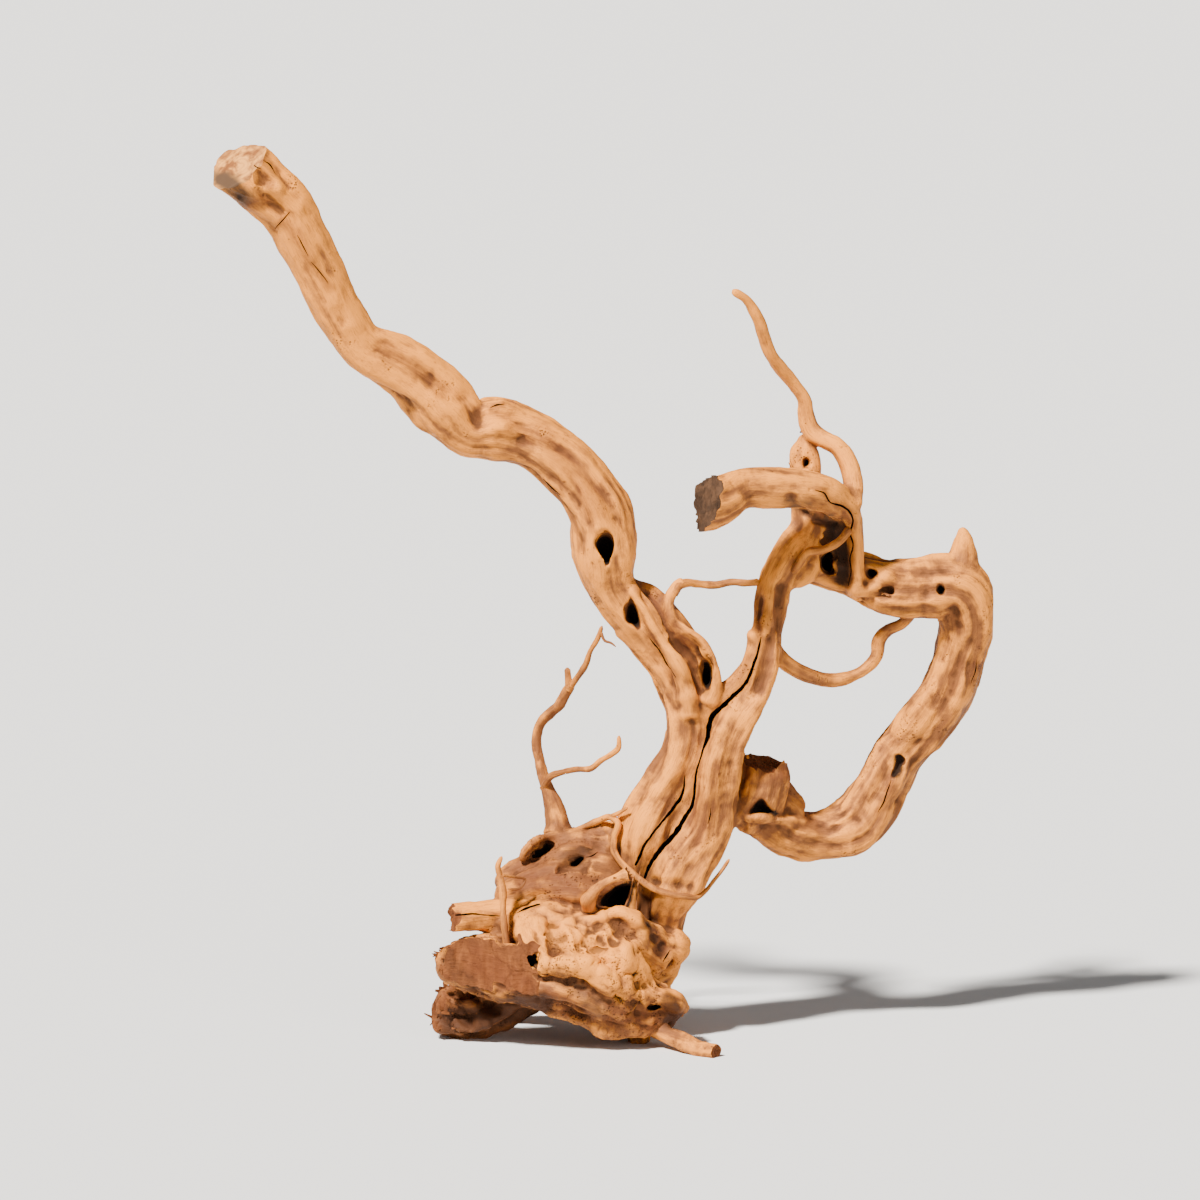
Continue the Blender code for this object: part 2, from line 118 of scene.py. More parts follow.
# name: (flute depth, roughness 0 smooth to 1 eroded, tone 0 pale to 1 brown, stations)
LIMBS = {
    "long_arm": (0.1, 0.15, 0.15, [
        (28, 2, 199, 10.5), (16, -2, 214, 11.7), (5, -6, 230, 13.2), (2.5, -9, 247, 17), (0, -11, 264, 16.4),
        (-9, -12, 281, 15), (-26, -14, 297, 15), (-43, -17, 304.5, 14.6), (-53, -19, 306.5, 15.6),
        (-66, -22, 306.5, 13.3), (-76.5, -25, 317, 15.8), (-91, -30, 331.5, 14.8),
        (-106, -35, 341, 13.6), (-118.5, -40, 348, 11.6), (-128, -45, 362.5, 12), (-136, -49, 379, 12.3),
        (-145.5, -54, 398, 13), (-155, -59, 416, 13.6), (-168, -64, 427, 14.8), (-188, -73, 441, 17),
    ]),
    "left_strand": (0.12, 0.2, 0.35, [
        (16, -2, 213, 11), (28, 2, 198, 10.5), (39, 4, 180, 11.5), (46, 5, 163, 13), (43.5, 6, 146, 13),
        (33, 7, 127, 14), (22, 8, 108, 14), (18, 10, 91, 12), (13, 12, 73.5, 13), (5, 12, 55, 15),
    ]),
    "right_strand": (0.12, 0.2, 0.35, [
        (103, 10, 284, 7.4), (104, 8, 256, 9.8), (96.5, 6, 247, 9.5), (86, 4, 226, 8.3),
        (84.5, 2, 210, 7.6), (83, 0, 195, 8), (77.5, -1, 176, 8.3), (67, -2, 160, 9.3),
        (61, -1, 145, 10.4), (58, 1, 126, 10.8), (53.5, 4, 107, 13.5), (43, 5, 91, 14),
        (36, 6, 75, 13.5), (31, 10, 58.5, 10.8), (27, 10, 41, 12.5), (20, 2, 25, 10),
    ]),
    "back_strand": (0.12, 0.3, 0.45, [
        (50, 14, 176, 9), (51, 20, 151, 12.5), (46, 23, 126, 14), (36, 25, 101, 15), (28, 25, 76, 16),
        (20, 22, 51, 18),
    ]),
    "middle_strip": (0.05, 0.2, 0.4, [
        (47.5, 2, 141, 4.5), (45, 3, 123.5, 5), (36.5, 4, 106, 5), (27.5, 6, 92, 5), (21.5, 8, 78.5, 5),
    ]),
    "inner_fork": (0.05, 0.2, 0.35, [
        (80, 0, 208, 4), (78, -2, 200, 4.6), (73.5, -3, 188.5, 5), (66.5, -3, 178.5, 5.5),
        (56, 0, 171, 7), (50, 2, 161, 8), (48.5, 5, 147, 6),
    ]),
    "ear_front": (0.05, 0.2, 0.2, [
        (10, -8, 236, 5), (16.5, -12, 225.5, 4), (23.5, -13.5, 217.5, 4), (28.5, -13, 208, 4),
        (34.5, -12.5, 198.5, 4.3), (39.5, -11.5, 189, 4.6), (43, -8, 178, 5), (45, -4, 166, 6),
    ]),
    "ear_back": (0.05, 0.2, 0.7, [
        (14, 0, 228, 5), (24, -2, 224, 6), (32, -4, 216.5, 6.5), (39, -4, 207, 7), (45, -2, 197, 7.5),
        (50, 1, 185, 7), (50, 5, 167, 8),
    ]),
    "ear_rim": (0.05, 0.2, 0.2, [
        (41, -4, 231, 2.9), (36.5, -6.5, 226.5, 3.1), (34.3, -8.5, 219, 3.2), (36.5, -10, 211.5, 3.2),
        (43.5, -11, 206.3, 3.2), (50, -11, 201.5, 3.1), (54.5, -10.5, 194.5, 3), (57, -9, 187, 3),
        (57.8, -8, 179.5, 3.3), (55, -6, 172, 4.5),
    ]),
    "loop": (0.11, 0.25, 0.4, [
        (62, 14, 122, 9), (80, 22, 114.5, 11.5), (96, 30, 105.5, 12.5), (111, 36, 103, 12.2),
        (127.5, 40, 107, 14.6), (141, 43, 126, 14.2), (150.5, 44, 143.5, 12.9), (163, 42, 159, 14),
        (174.5, 38, 176, 13.6), (180.5, 34, 195, 12.6), (184, 30, 212, 14), (179, 27, 226, 16),
        (162, 24, 228, 15.2), (146.5, 21, 228.5, 14.6), (131, 18, 234, 12.5), (115, 15, 238, 10.5),
        (99, 11, 241, 9),
    ]),
    "loop_stump": (0.08, 0.4, 0.6, [(74, 16, 112, 11), (81.5, 17, 126, 13), (82, 19, 146, 11.5)]),
    "stump_skirt": (0.08, 0.3, 0.6, [(83, 18, 138, 7), (88, 22, 127, 8), (97, 28, 115, 8)]),
    "loop_spur": (0.05, 0.2, 0.4, [
        (179, 28, 232, 11), (182.5, 27, 244, 7.5), (183, 27, 251, 5), (182.5, 27, 257.5, 2.6),
    ]),
    "crook": (0.08, 0.15, 0.25, [
        (130, 12, 226, 6), (127.5, 5, 236, 5.6), (126.5, 1, 248.5, 5.8), (125, -3, 260, 6.6),
        (121, -8, 268.5, 8.6), (114, -14, 273.5, 9.8), (100, -21, 276.5, 10), (85, -28, 277.5, 10),
        (70, -34, 277.5, 10), (59, -40, 272, 12.8), (42, -49, 270, 14),
    ]),
    "crook_web": (0.1, 0.3, 0.6, [(119, 2, 264, 6), (121, 10, 249, 6), (121, 14, 233, 6)]),
    "crook_root": (0.03, 0.1, 0.4, [
        (94, 8, 231, 4), (102, 6, 233.5, 5), (107.5, 6, 241, 4.5), (111, 6, 250, 4),
    ]),
    "top_knob": (0.05, 0.3, 0.5, [
        (103, 10, 278, 7), (103, 13, 291, 8), (102.5, 14, 299, 6.5), (102, 14, 303, 3),
    ]),
    "tall_twig": (0.12, 0.1, 0.4, [
        (125, -5, 270, 6.4), (126, -1, 281, 5.2), (123, 3, 292, 5), (118.5, 5, 298.5, 4.6),
        (112, 7, 302, 4.5), (105.5, 9, 307, 4.4), (103, 9, 314, 4.2), (102.5, 8, 321, 3.9),
        (96, 5, 330.5, 3.8), (90, 0, 337, 3.8), (85, -5, 344, 3.9), (81.5, -9, 352.5, 3.7),
        (78.5, -13, 361, 3.7), (75, -16, 367, 3.4), (72, -19, 371, 3), (66, -22, 374.5, 2.4),
    ]),
    "cross_root": (0.12, 0.1, 0.5, [
        (84, 5, 202, 4.2), (91, 8, 192, 4.1), (100, 12, 185.5, 3.9), (105.5, 14, 183.2, 3.8),
        (115, 18, 181, 3.8), (126, 22, 183, 3.8), (134, 24, 187.5, 3.8), (139.5, 25, 194, 3.8),
        (140.5, 25, 201.5, 3.7), (145, 24, 206.5, 3.3), (152, 23, 209.5, 3), (158, 23, 218, 3),
    ]),
    "left_twig": (0.12, 0.2, 1.0, [
        (-22, 16, 98, 6), (-21.5, 18, 109.5, 5.8), (-24, 20, 119.5, 4.4), (-27.5, 22, 130, 3.8),
        (-30.5, 25, 141, 3.3), (-32, 27, 149.5, 3), (-31.5, 27, 156, 2.9), (-29.5, 26, 161, 3),
        (-25, 25, 165.5, 3.2), (-21.5, 23, 168.5, 3.3), (-18.5, 22, 174, 3.1), (-14.5, 19, 180, 2.7),
    ]),
    "upper_lobe": (0.1, 0.4, 1.0, [
        (20, 18, 74, 14), (2.5, 14, 86, 17), (-15, 12, 88, 17.5), (-31, 12, 84.5, 13), (-47, 8, 77.5, 9.5),
    ]),
    "lobe_front": (0.1, 0.4, 1.0, [
        (8, 2, 74, 10), (-8, -2, 77, 12), (-24, -2, 78, 11), (-38, 0, 75, 9.5), (-49, -2, 72, 7),
    ]),
    "lobe_lip": (0.1, 0.9, 0.9, [
        (-12, 20, 104, 2.8), (-22, 14, 103.5, 1.9), (-34, 6, 99, 1.7), (-39, 4, 92, 2.0),
    ]),
    "left_stub": (0.08, 0.3, 0.4, [
        (-27.5, -4, 65, 9), (-45, -8, 65, 7.5), (-60, -12, 63.5, 7.2), (-78, -17, 62, 6.8),
    ]),
    "brow": (0.12, 0.7, 0.2, [
        (-52, -8, 52, 8), (-36, -12, 58.5, 10.5), (-26, -13, 60, 11), (-10, -13, 56, 11.5), (6, -12, 57, 11),
        (17.5, -10, 52, 10.5), (28, 0, 44, 12),
    ]),
    "brow_left_fold": (0.12, 0.7, 0.15, [
        (-36, -16, 60, 8), (-33, -25, 53, 9.5), (-30, -33, 46, 9), (-26, -39, 41, 6),
    ]),
    "brow_middle_fold": (0.12, 0.7, 0.15, [
        (-18, -16, 58, 9), (-15, -25, 50, 9.5), (-12, -33, 44, 9), (-8, -39, 39, 6),
    ]),
    "brow_right_fold": (0.12, 0.7, 0.2, [
        (0, -16, 54, 9), (5, -24, 46, 9.5), (8, -30, 40, 9), (8, -36, 34, 6),
    ]),
    "brow_horn": (0.1, 0.6, 0.3, [
        (3, -14, 60, 7), (12, -16, 60, 7.5), (19, -14, 57, 6), (22.5, -12, 54, 4),
    ]),
    "brow_fill": (0.12, 0.8, 0.3, [
        (-36, -23, 49, 9.5), (-24, -26, 48, 10), (-12, -26, 46, 10), (0, -25, 44, 9.5), (11, -21, 41, 9),
    ]),
    "rim": (0.25, 1.2, 0.25, [
        (-48, -28, 45, 6), (-38, -34, 43, 6), (-28, -38, 40.5, 4.8),
        (-18, -39, 41, 5.5), (-8, -39, 38.5, 4.6),
        (2, -37, 33, 5.4), (9, -34, 29, 5), (13, -30, 24, 6),
    ]),
    "apron": (0.12, 0.8, 0.8, [
        (-44, -27, 33, 8), (-30, -31, 33, 8.5), (-15, -32, 29, 8.5), (0, -31, 23.5, 8.5), (11, -27, 19, 8),
    ]),
    "shelf": (0.12, 0.8, 0.8, [
        (-77, -12, 38.5, 8.5), (-70, -14, 39.5, 12), (-59, -18, 38.5, 14.5), (-40, -20, 35, 14.5),
        (-20, -20, 30, 13.5), (0, -20, 24, 13.5), (20, -15, 20, 13), (36, -8, 17, 9),
    ]),
    "socket_ridge": (0.1, 0.7, 0.4, [
        (12, -26, 44, 6), (17, -26, 36, 6.5), (21, -25, 28, 6), (26, -24, 23, 5.5),
        (36, -17, 21, 5.5), (40, -10, 17, 5),
    ]),
    "chin": (0.12, 0.8, 0.7, [
        (-28, -16, 24, 7), (-12, -20, 17, 7), (0, -22, 12, 7), (12, -20, 11, 8), (24, -15, 10, 7.5),
    ]),
    "core": (0.1, 0.6, 0.5, [
        (-38, 8, 52, 16), (-20, 8, 50, 20), (0, 8, 46, 22), (18, 12, 40, 20), (17, 12, 26, 13),
    ]),
    "heel": (0.1, 0.9, 0.6, [(3, -20, 20, 9), (3, -22, 6, 7)]),
    "keel": (0.1, 0.9, 0.8, [(12, -3, 16, 9), (18, -2, 6, 6.5), (20, -1, -2, 4.5)]),
    "left_foot": (0.42, 0.6, 1.5, [
        (-18, 0, 34, 10), (-38, 4, 27, 10), (-53, 8, 18, 11.5), (-66, 10, 13.5, 13.5), (-78, 11, 16.5, 12.5),
    ]),
    "back_left_foot": (0.1, 0.5, 0.6, [
        (-22, 20, 46, 14), (-37, 38, 33, 11), (-48, 50, 20, 9), (-54, 59, 13.5, 8), (-58, 65, 9, 7),
    ]),
    "back_right_foot": (0.1, 0.5, 0.6, [
        (20, 22, 32, 15), (24, 42, 24, 11), (28, 58, 16.5, 9), (31, 70, 13, 7.5),
    ]),
    "twig_foot": (0.12, 0.3, 0.6, [
        (18, -8, 12, 6), (27.5, -17, 6.5, 4.6), (40, -28, 1.4, 4), (50, -38, -2.2, 4.1),
        (58.5, -45, -3.6, 4.5),
    ]),
    "broken_spur": (0.05, 0.3, 0.5, [
        (-5, -14, 66, 3.0), (-5.5, -20, 72, 2.9), (-1, -21.5, 78.5, 2.3), (5, -20, 82, 2.3),
        (11, -18.5, 84, 2.9), (16, -17, 85.5, 3.8),
    ]),
}

BURLS = [
    (3, 13, 100, 11), (-80, -27, 328, 10), (-50, -22, 315, 7), (77, -4, 203.5, 3.8), (36, 5, 48, 9),
    (30, 6, 37, 9), (78, 20, 137, 11), (36, -8, 17, 5.5),
]

ROOTLETS = {
    "bridge": [
        (36.5, -6.5, 225, 2.6), (39, -5, 229, 2.5), (43, -2, 230.5, 2.3),
        (49.5, 2, 230, 2.1), (57.5, 4, 229.5, 2.1),
        (66.5, 5, 231, 1.9), (72.5, 5, 230.5, 1.9), (80, 4, 231, 2),
    ],
    "strap": [
        (95, 5, 235, 2), (99, -4, 239.5, 2), (104, -6, 246, 2.2), (111, -7, 247, 2.2),
        (119, -7, 251, 2.1), (125, -5, 258, 2.5),
    ],
    "left_twig_tip": [
        (-16, 19.5, 177, 2), (-11.5, 17, 183, 1.6), (-7, 14, 190, 1.7), (-5, 12, 196, 1.3),
        (-1, 10, 203, 1.3), (1, 9, 209, 1),
    ],
    "left_twig_stub": [(-15.5, 19, 178, 2), (-16.5, 18, 188, 1.4)],
    "side_twig": [
        (-29, 21, 127, 1.6), (-24.5, 15, 133.5, 1.9), (-19, 11, 135.5, 1.6), (-12, 8, 137, 1.5),
        (-4.5, 5, 137.5, 1.6), (0.5, 3, 141.5, 1.5), (5.5, 1, 144.5, 1.6), (9, 0, 147.5, 1.6),
        (9.5, -1, 154, 1),
    ],
    "collar_root": [
        (-20, 17, 103, 2), (-10, 14, 107, 1.6), (-1, 9, 111, 1.8), (5, 4, 113, 1.6), (9, 0, 110, 1.8),
        (7, 0, 103, 1.7), (7, -1, 96, 1.7), (10, -3, 91, 1.7), (15, -5, 86, 1.8), (22.5, -8, 80, 1.8),
        (29, -10, 76.5, 1.8), (36, -10.5, 74.5, 1.7), (43, -9, 73.5, 1.6),
        (49, -5, 73, 1.4), (53, -2, 76, 1.1),
        (57, 0, 81, 1), (61, 1, 86, 1), (65, 2, 92, 0.8),
    ],
    "collar_tip": [(5, 4, 113, 1.4), (9, 0, 115, 1.1), (14, -3, 118, 0.6)],
    "tip_twiglet": [(0.5, 9, 206, 0.7), (2.5, 8, 201.5, 0.7), (5.5, 7, 200.5, 0.6), (8, 6, 198.5, 0.4)],
    "curled_root": [
        (-48.5, -25, 84.5, 0.9), (-42.5, -21, 83.5, 0.7), (-37.5, -17, 82, 0.7), (-40, -19, 78, 0.7),
        (-46, -22, 77.5, 0.6),
    ],
    "cave_straw_left": [(10, -16, 63, 0.5), (14, -13, 72, 0.5), (17, -8, 84, 0.4)],
    "cave_straw_right": [(18, -14, 64, 0.5), (18.5, -11, 74, 0.4), (20, -6, 86, 0.4)],
    "upright_root": [
        (-46, -26, 46, 1.9), (-48, -26, 61, 1.7), (-48.5, -25, 71, 1.6), (-48.5, -25, 76, 2),
        (-50, -24, 84, 1.6), (-51, -24, 89, 1.4), (-49, -24, 94, 0.9),
    ],
}

# Marks in the picture

# Rot holes: how deep, how far the back narrows, then the rim in picture points.
HOLLOWS = {
    "arm_hole": (16, 0.6, [
        (601, 533), (607, 532), (612, 537), (614, 545), (613, 553), (610, 561), (609, 569), (608, 577),
        (606, 570), (604, 560), (599, 553), (595, 546), (596, 538),
    ]),
    "neck_hole": (12, 0.7, [
        (631, 597), (635, 604), (638, 613), (641, 623), (641, 634), (637, 630), (632, 626), (626, 622),
        (625, 613), (627, 604),
    ]),
    "ear_hole": (15, 0.7, [
        (705, 659), (710, 662), (713, 670), (713, 681), (711, 690), (706, 693),
        (702, 688), (700, 678), (701, 666),
    ]),
    "lobe_hole": (13, 0.4, [
        (580, 856), (585, 856), (587, 859), (583, 863), (577, 867), (571, 868), (568, 865), (573, 860),
    ]),
    "lobe_funnel": (4, 0.7, [
        (580, 846), (592, 850), (592, 858), (587, 868), (575, 873), (563, 872), (558, 864), (564, 852),
    ]),
    "lip_hole": (8, 0.3, [
        (552, 842), (550, 849), (543, 856), (534, 860), (530, 858), (534, 852), (541, 848), (547, 843),
    ]),
    "dark_cave": (26, 0.5, [
        (636, 882), (633, 894), (630, 906), (620, 911), (607, 911), (599, 906),
        (601, 897), (611, 889), (624, 883),
    ]),
    "brow_hole": (10, 0.5, [
        (528, 952), (538, 950), (544, 957), (543, 967), (535, 973), (528, 970), (525, 960),
    ]),
    "shelf_hole": (11, 0.5, [
        (611, 988), (617, 990), (624, 990), (624, 998), (620, 1003), (615, 1001), (611, 995),
    ]),
    "shelf_slot": (12, 0.5, [(645, 1005), (652, 1003), (660, 1003), (662, 1007), (655, 1010), (647, 1010)]),
    "rim_slot": (9, 0.5, [(622, 1013), (628, 1008), (633, 1008), (630, 1013), (624, 1016)]),
    "face_hole": (7, 0.4, [(475, 955), (480, 954), (482, 959), (477, 962), (473, 960)]),
    "rim_notch": (7, 0.4, [(625, 971), (632, 968), (637, 971), (636, 976), (628, 977), (624, 975)]),
    "knob_hole": (6, 0.5, [
        (802, 459), (806, 457), (810, 458), (812, 464), (809, 469), (803, 470), (801, 465),
    ]),
    "beam_hole": (9, 0.6, [(938, 584), (942, 584), (945, 589), (944, 595), (940, 597), (937, 592)]),
    "beam_pocket": (8, 0.5, [(866, 570), (871, 568), (877, 571), (879, 576), (874, 579), (868, 577)]),
    "web_hole": (16, 0.7, [
        (820, 556), (826, 552), (832, 550), (834, 562), (832, 574), (825, 573), (820, 566),
    ]),
    "lip_slit": (7, 0.5, [(879, 588), (887, 587), (894, 590), (893, 593), (885, 592), (879, 591)]),
    "loop_knot": (2.0, 0.2, [
        (897, 756), (902, 758), (906, 762), (900, 767), (903, 773), (895, 778), (890, 779), (894, 768),
    ]),
    "stub_hollow": (9, 0.6, [
        (747, 815), (751, 806), (760, 799), (768, 804), (777, 812), (776, 816), (762, 816),
    ]),
}

# Drying cracks: how deep, then picture points along each with its half width there.
CRACKS = {
    "main_crack": (9, [
        (761, 637, 0.8), (757, 655, 1.6), (753, 666, 1.9), (749, 677, 2.1), (743, 687, 2.2), (733, 696, 2.3),
        (723, 706, 2.7), (714, 714, 3.1), (709, 726, 3), (707, 739, 2.2), (704, 747, 1.4), (700, 760, 1),
        (697, 769, 1.2), (695, 783, 1.5), (694, 797, 1.8), (691, 808, 2.2), (684, 819, 2.8), (678, 829, 2.9),
        (670, 839, 2.8), (661, 849, 2.6), (653, 860, 2.4), (647, 871, 2.2), (644, 880, 1.4),
    ]),
    "side_crack": (10, [
        (685, 775, 0.5), (684, 787, 1.2), (681, 797, 1.9), (674, 807, 2), (667, 816, 1.6), (658, 827, 1.3),
        (650, 837, 1.3), (644, 846, 1.6), (640, 856, 1.7), (634, 868, 2),
    ]),
    "crook_crack": (8, [
        (815, 490, 0.5), (824, 493, 0.9), (830, 502, 1.0), (842, 506, 1.2), (849, 511, 1.3), (853, 520, 1.2),
        (850, 533, 1.1), (853, 545, 0.9), (850, 558, 0.9), (851, 572, 0.8), (848, 586, 0.6),
    ]),
    "arm_end_crack": (7, [
        (230, 157, 0.5), (232, 162, 1.2), (236, 166, 1.0), (241, 162, 0.9), (247, 157, 0.5),
    ]),
    "arm_end_split": (6, [(237, 166, 0.6), (235, 171, 1.3), (237, 177, 0.6)]),
    "arm_fold_crease": (5, [(252, 153, 0.5), (251, 160, 1.1), (255, 166, 1.3), (261, 169, 0.5)]),
    "arm_second_crease": (4, [(263, 160, 0.4), (269, 164, 1.0), (275, 173, 0.5)]),
    "arm_slit": (5, [(275, 229, 0.5), (281, 222, 0.8), (290, 212, 0.7)]),
    "arm_split_upper": (5, [(297, 235, 0.5), (302, 244, 0.8), (308, 256, 0.5)]),
    "arm_split_lower": (5, [(311, 262, 0.5), (319, 271, 0.8), (328, 283, 0.5)]),
    "elbow_slit": (5, [(543, 479, 0.5), (550, 486, 1.1), (560, 495, 0.5)]),
    "knob_slit": (5, [(490, 408, 0.5), (497, 405, 1.2), (504, 404, 0.5)]),
    "stub_split": (6, [(455, 915, 1.3), (470, 914, 1.1), (485, 915, 0.8), (500, 916, 0.5)]),
    "stub_root_gap": (9, [(517, 913, 0.6), (527, 908, 1.4), (540, 904, 1.2)]),
    "loop_crack": (5, [(891, 780, 0.5), (887, 792, 1), (884, 801, 1.1), (878, 812, 0.5)]),
    "corner_crack": (4, [(977, 660, 0.4), (975, 672, 0.9), (971, 683, 0.4)]),
    "strand_groove": (4, [
        (649, 637, 0.5), (653, 643, 1), (659, 650, 1), (667, 664, 1), (672, 671, 0.9), (676, 678, 0.6),
    ]),
    "foot_slit": (5, [(663, 962, 0.6), (666, 957, 1.2), (670, 950, 0.6)]),
    "lobe_slit": (4, [(586, 857, 0.5), (592, 856, 1), (598, 852, 0.5)]),
    "trunk_nick": (4, [(711, 808, 0.4), (710, 816, 1.1), (708, 824, 0.4)]),
}

# Ridges and grooves pressed into the wood that the picture shows, by the limb that bears them: half width
# in picture points, how far out or, below 0, in, then the line.
RELIEF = {
    "fork": [
        (5, -2.6, [
            (645, 597), (650, 606), (655, 617), (662, 631), (670, 641), (683, 649), (693, 657), (699, 667),
        ]),
        (4, -1.3, [(676, 624), (684, 634), (694, 642), (703, 651), (708, 661)]),
        (4, 1.0, [
            (633, 592), (640, 600), (648, 611), (654, 624), (661, 636), (668, 647), (676, 658), (683, 673),
        ]),
        (5, 0.8, [(677, 700), (690, 695), (701, 698)]),
        (6, -1.2, [(660, 700), (655, 685), (645, 670), (632, 655)]),
    ],
    "long_arm": [
        (6, -2.4, [(252, 152), (253, 163), (260, 170), (266, 182)]),
        (5, 1.8, [(259, 156), (264, 162), (271, 173), (280, 188)]),
        (5, -1.8, [(266, 158), (275, 170), (288, 184)]),
        (5, -1.4, [(258, 185), (270, 200), (280, 212)]),
        (7, 1.2, [(300, 210), (314, 240), (324, 270), (336, 300)]),
        (7, -1.4, [(466, 400), (472, 412), (480, 424), (497, 434), (520, 440)]),
        (8, 1.0, [(480, 405), (495, 401), (512, 405)]),
        (6, -1.2, [(515, 428), (524, 433), (533, 440)]),
        (7, -1.1, [(385, 345), (410, 358), (437, 383), (452, 398)]),
        (6, -0.9, [(352, 338), (372, 352), (400, 365), (425, 390)]),
        (6, -0.9, [(305, 215), (318, 250), (330, 285), (345, 318)]),
        (7, -1.1, [(560, 447), (575, 462), (590, 480), (603, 500), (612, 520)]),
        (6, -0.8, [(525, 455), (550, 470), (570, 492), (585, 520), (592, 550)]),
        (5, 0.7, [(595, 530), (593, 545), (600, 562), (603, 580)]),
    ],
    "trunk": [
        (9, 1.2, [(676, 720), (674, 750), (668, 780), (650, 810), (632, 840)]),
        (6, -1.0, [(690, 715), (693, 740), (690, 765)]),
        (5, 1.0, [(720, 730), (714, 760), (710, 790), (702, 815), (686, 838), (668, 862)]),
        (9, -1.4, [(736, 730), (728, 760), (725, 790), (715, 820), (700, 845)]),
        (7, 1.2, [(758, 700), (748, 725), (740, 750), (735, 785)]),
        (4, -1.3, [(655, 882), (670, 884), (690, 887)]),
        (6, 1.0, [(650, 890), (668, 898), (686, 902)]),
    ],
    "right_branch": [
        (6, -1.6, [(780, 590), (779, 605), (776, 620), (772, 640), (766, 665), (757, 690)]),
        (5, -1.4, [(759, 600), (758, 615), (757, 628)]),
        (5, 1.0, [(768, 595), (768, 615), (766, 630)]),
        (5, 1.2, [(752, 632), (758, 622), (768, 620)]),
    ],
    "crook_and_torn_plate": [
        (8, -1.8, [(795, 520), (808, 528), (820, 540)]),
        (12, -3.0, [(838, 530), (840, 550), (842, 575)]),
        (5, -1.2, [(790, 500), (806, 505), (822, 512)]),
        (4, 2.2, [(800, 500), (812, 507), (824, 511), (836, 516)]),
        (3, -2.4, [(804, 512), (816, 520), (830, 527)]),
        (5, -0.9, [(745, 493), (765, 491), (790, 492)]),
        (5, 0.9, [(740, 484), (765, 479), (795, 481), (820, 488)]),
    ],
    "loop": [
        (7, -1.6, [(935, 628), (931, 650), (925, 670), (905, 700), (885, 728)]),
        (8, 1.4, [(938, 600), (940, 630), (936, 660), (920, 692), (898, 724)]),
        (8, -1.5, [(957, 610), (960, 640), (953, 675), (938, 700)]),
        (7, -1.2, [(915, 740), (900, 762), (880, 785), (860, 810), (835, 825)]),
        (7, 1.2, [(880, 760), (862, 790), (838, 815), (812, 826)]),
        (5, -1.4, [(800, 823), (830, 828), (855, 820)]),
        (5, 2.0, [(855, 590), (865, 594), (874, 588), (880, 581), (890, 577)]),
        (5, -1.8, [(862, 601), (875, 596), (890, 592)]),
        (5, -1.3, [(895, 577), (912, 580), (930, 578)]),
        (5, 1.4, [(755, 774), (770, 778), (784, 777)]),
        (4, 1.8, [(750, 819), (775, 820), (803, 821)]),
        (6, -2.4, [(745, 825), (765, 829), (790, 833)]),
    ],
    "upper_lobe": [
        (6, 2.2, [(521, 848), (531, 842), (543, 836), (553, 833)]),
        (9, -2.0, [(532, 854), (545, 846)]),
        (10, -2.2, [(600, 832)]),
        (7, -1.6, [(520, 880), (545, 872), (570, 884), (600, 880)]),
        (6, 1.2, [(505, 890), (530, 884), (560, 893), (585, 898)]),
    ],
    "brow_shelf_and_face": [
        (7, 2.4, [(540, 965), (560, 963), (580, 968), (600, 976), (615, 986), (625, 992)]),
        (5, -1.6, [(540, 978), (560, 979), (580, 986), (597, 996), (608, 1004)]),
        (6, 1.8, [(545, 990), (565, 995), (585, 1003), (600, 1013)]),
        (5, -2.0, [(550, 1003), (570, 1008), (588, 1015)]),
        (6, 1.8, [(590, 1020), (605, 1030)]),
        (6, 1.6, [(612, 950), (625, 955), (636, 964)]),
        (6, -2.2, [(585, 945), (597, 951), (612, 949)]),
        (7, -2.6, [(596, 936), (602, 944)]),
        (5, 1.8, [(590, 960), (605, 955), (622, 962), (632, 975)]),
        (6, -2.2, [(612, 918), (620, 928), (616, 938)]),
        (5, 2.2, [(605, 916), (620, 912), (634, 920), (645, 929), (640, 941), (628, 947)]),
        (7, -2.0, [(540, 940), (552, 944), (556, 952)]),
        (5, 1.5, [(520, 935), (535, 925), (552, 920), (575, 925), (592, 935)]),
        (6, -1.8, [(530, 930), (548, 933), (565, 940), (578, 948)]),
        (5, 1.4, [(462, 945), (480, 938), (500, 937)]),
        (5, -1.6, [(460, 952), (468, 966), (470, 985)]),
        (4, 1.2, [(487, 990), (505, 996), (525, 994), (540, 990)]),
        (4, -1.4, [(490, 985), (510, 990), (525, 987)]),
        (6, -1.8, [(640, 985), (650, 990), (655, 1000)]),
        (5, 2.0, [(645, 998), (657, 996), (668, 1000), (676, 1008)]),
        (5, -1.8, [(630, 1000), (636, 1010), (640, 1020)]),
        (6, 1.6, [(625, 1024), (645, 1027), (665, 1024)]),
        (6, -2.2, [(650, 925), (656, 938), (660, 950)]),
        (6, 1.6, [(675, 930), (682, 945), (676, 962)]),
    ],
    "left_foot": [
        (5, -2.6, [(452, 1000), (462, 1012), (470, 1028)]),
        (5, 2.0, [(445, 1005), (455, 1018), (462, 1034)]),
        (5, -2.4, [(475, 995), (490, 1005), (505, 1015)]),
        (4, 1.6, [(468, 1000), (480, 1012), (488, 1026)]),
    ],
}

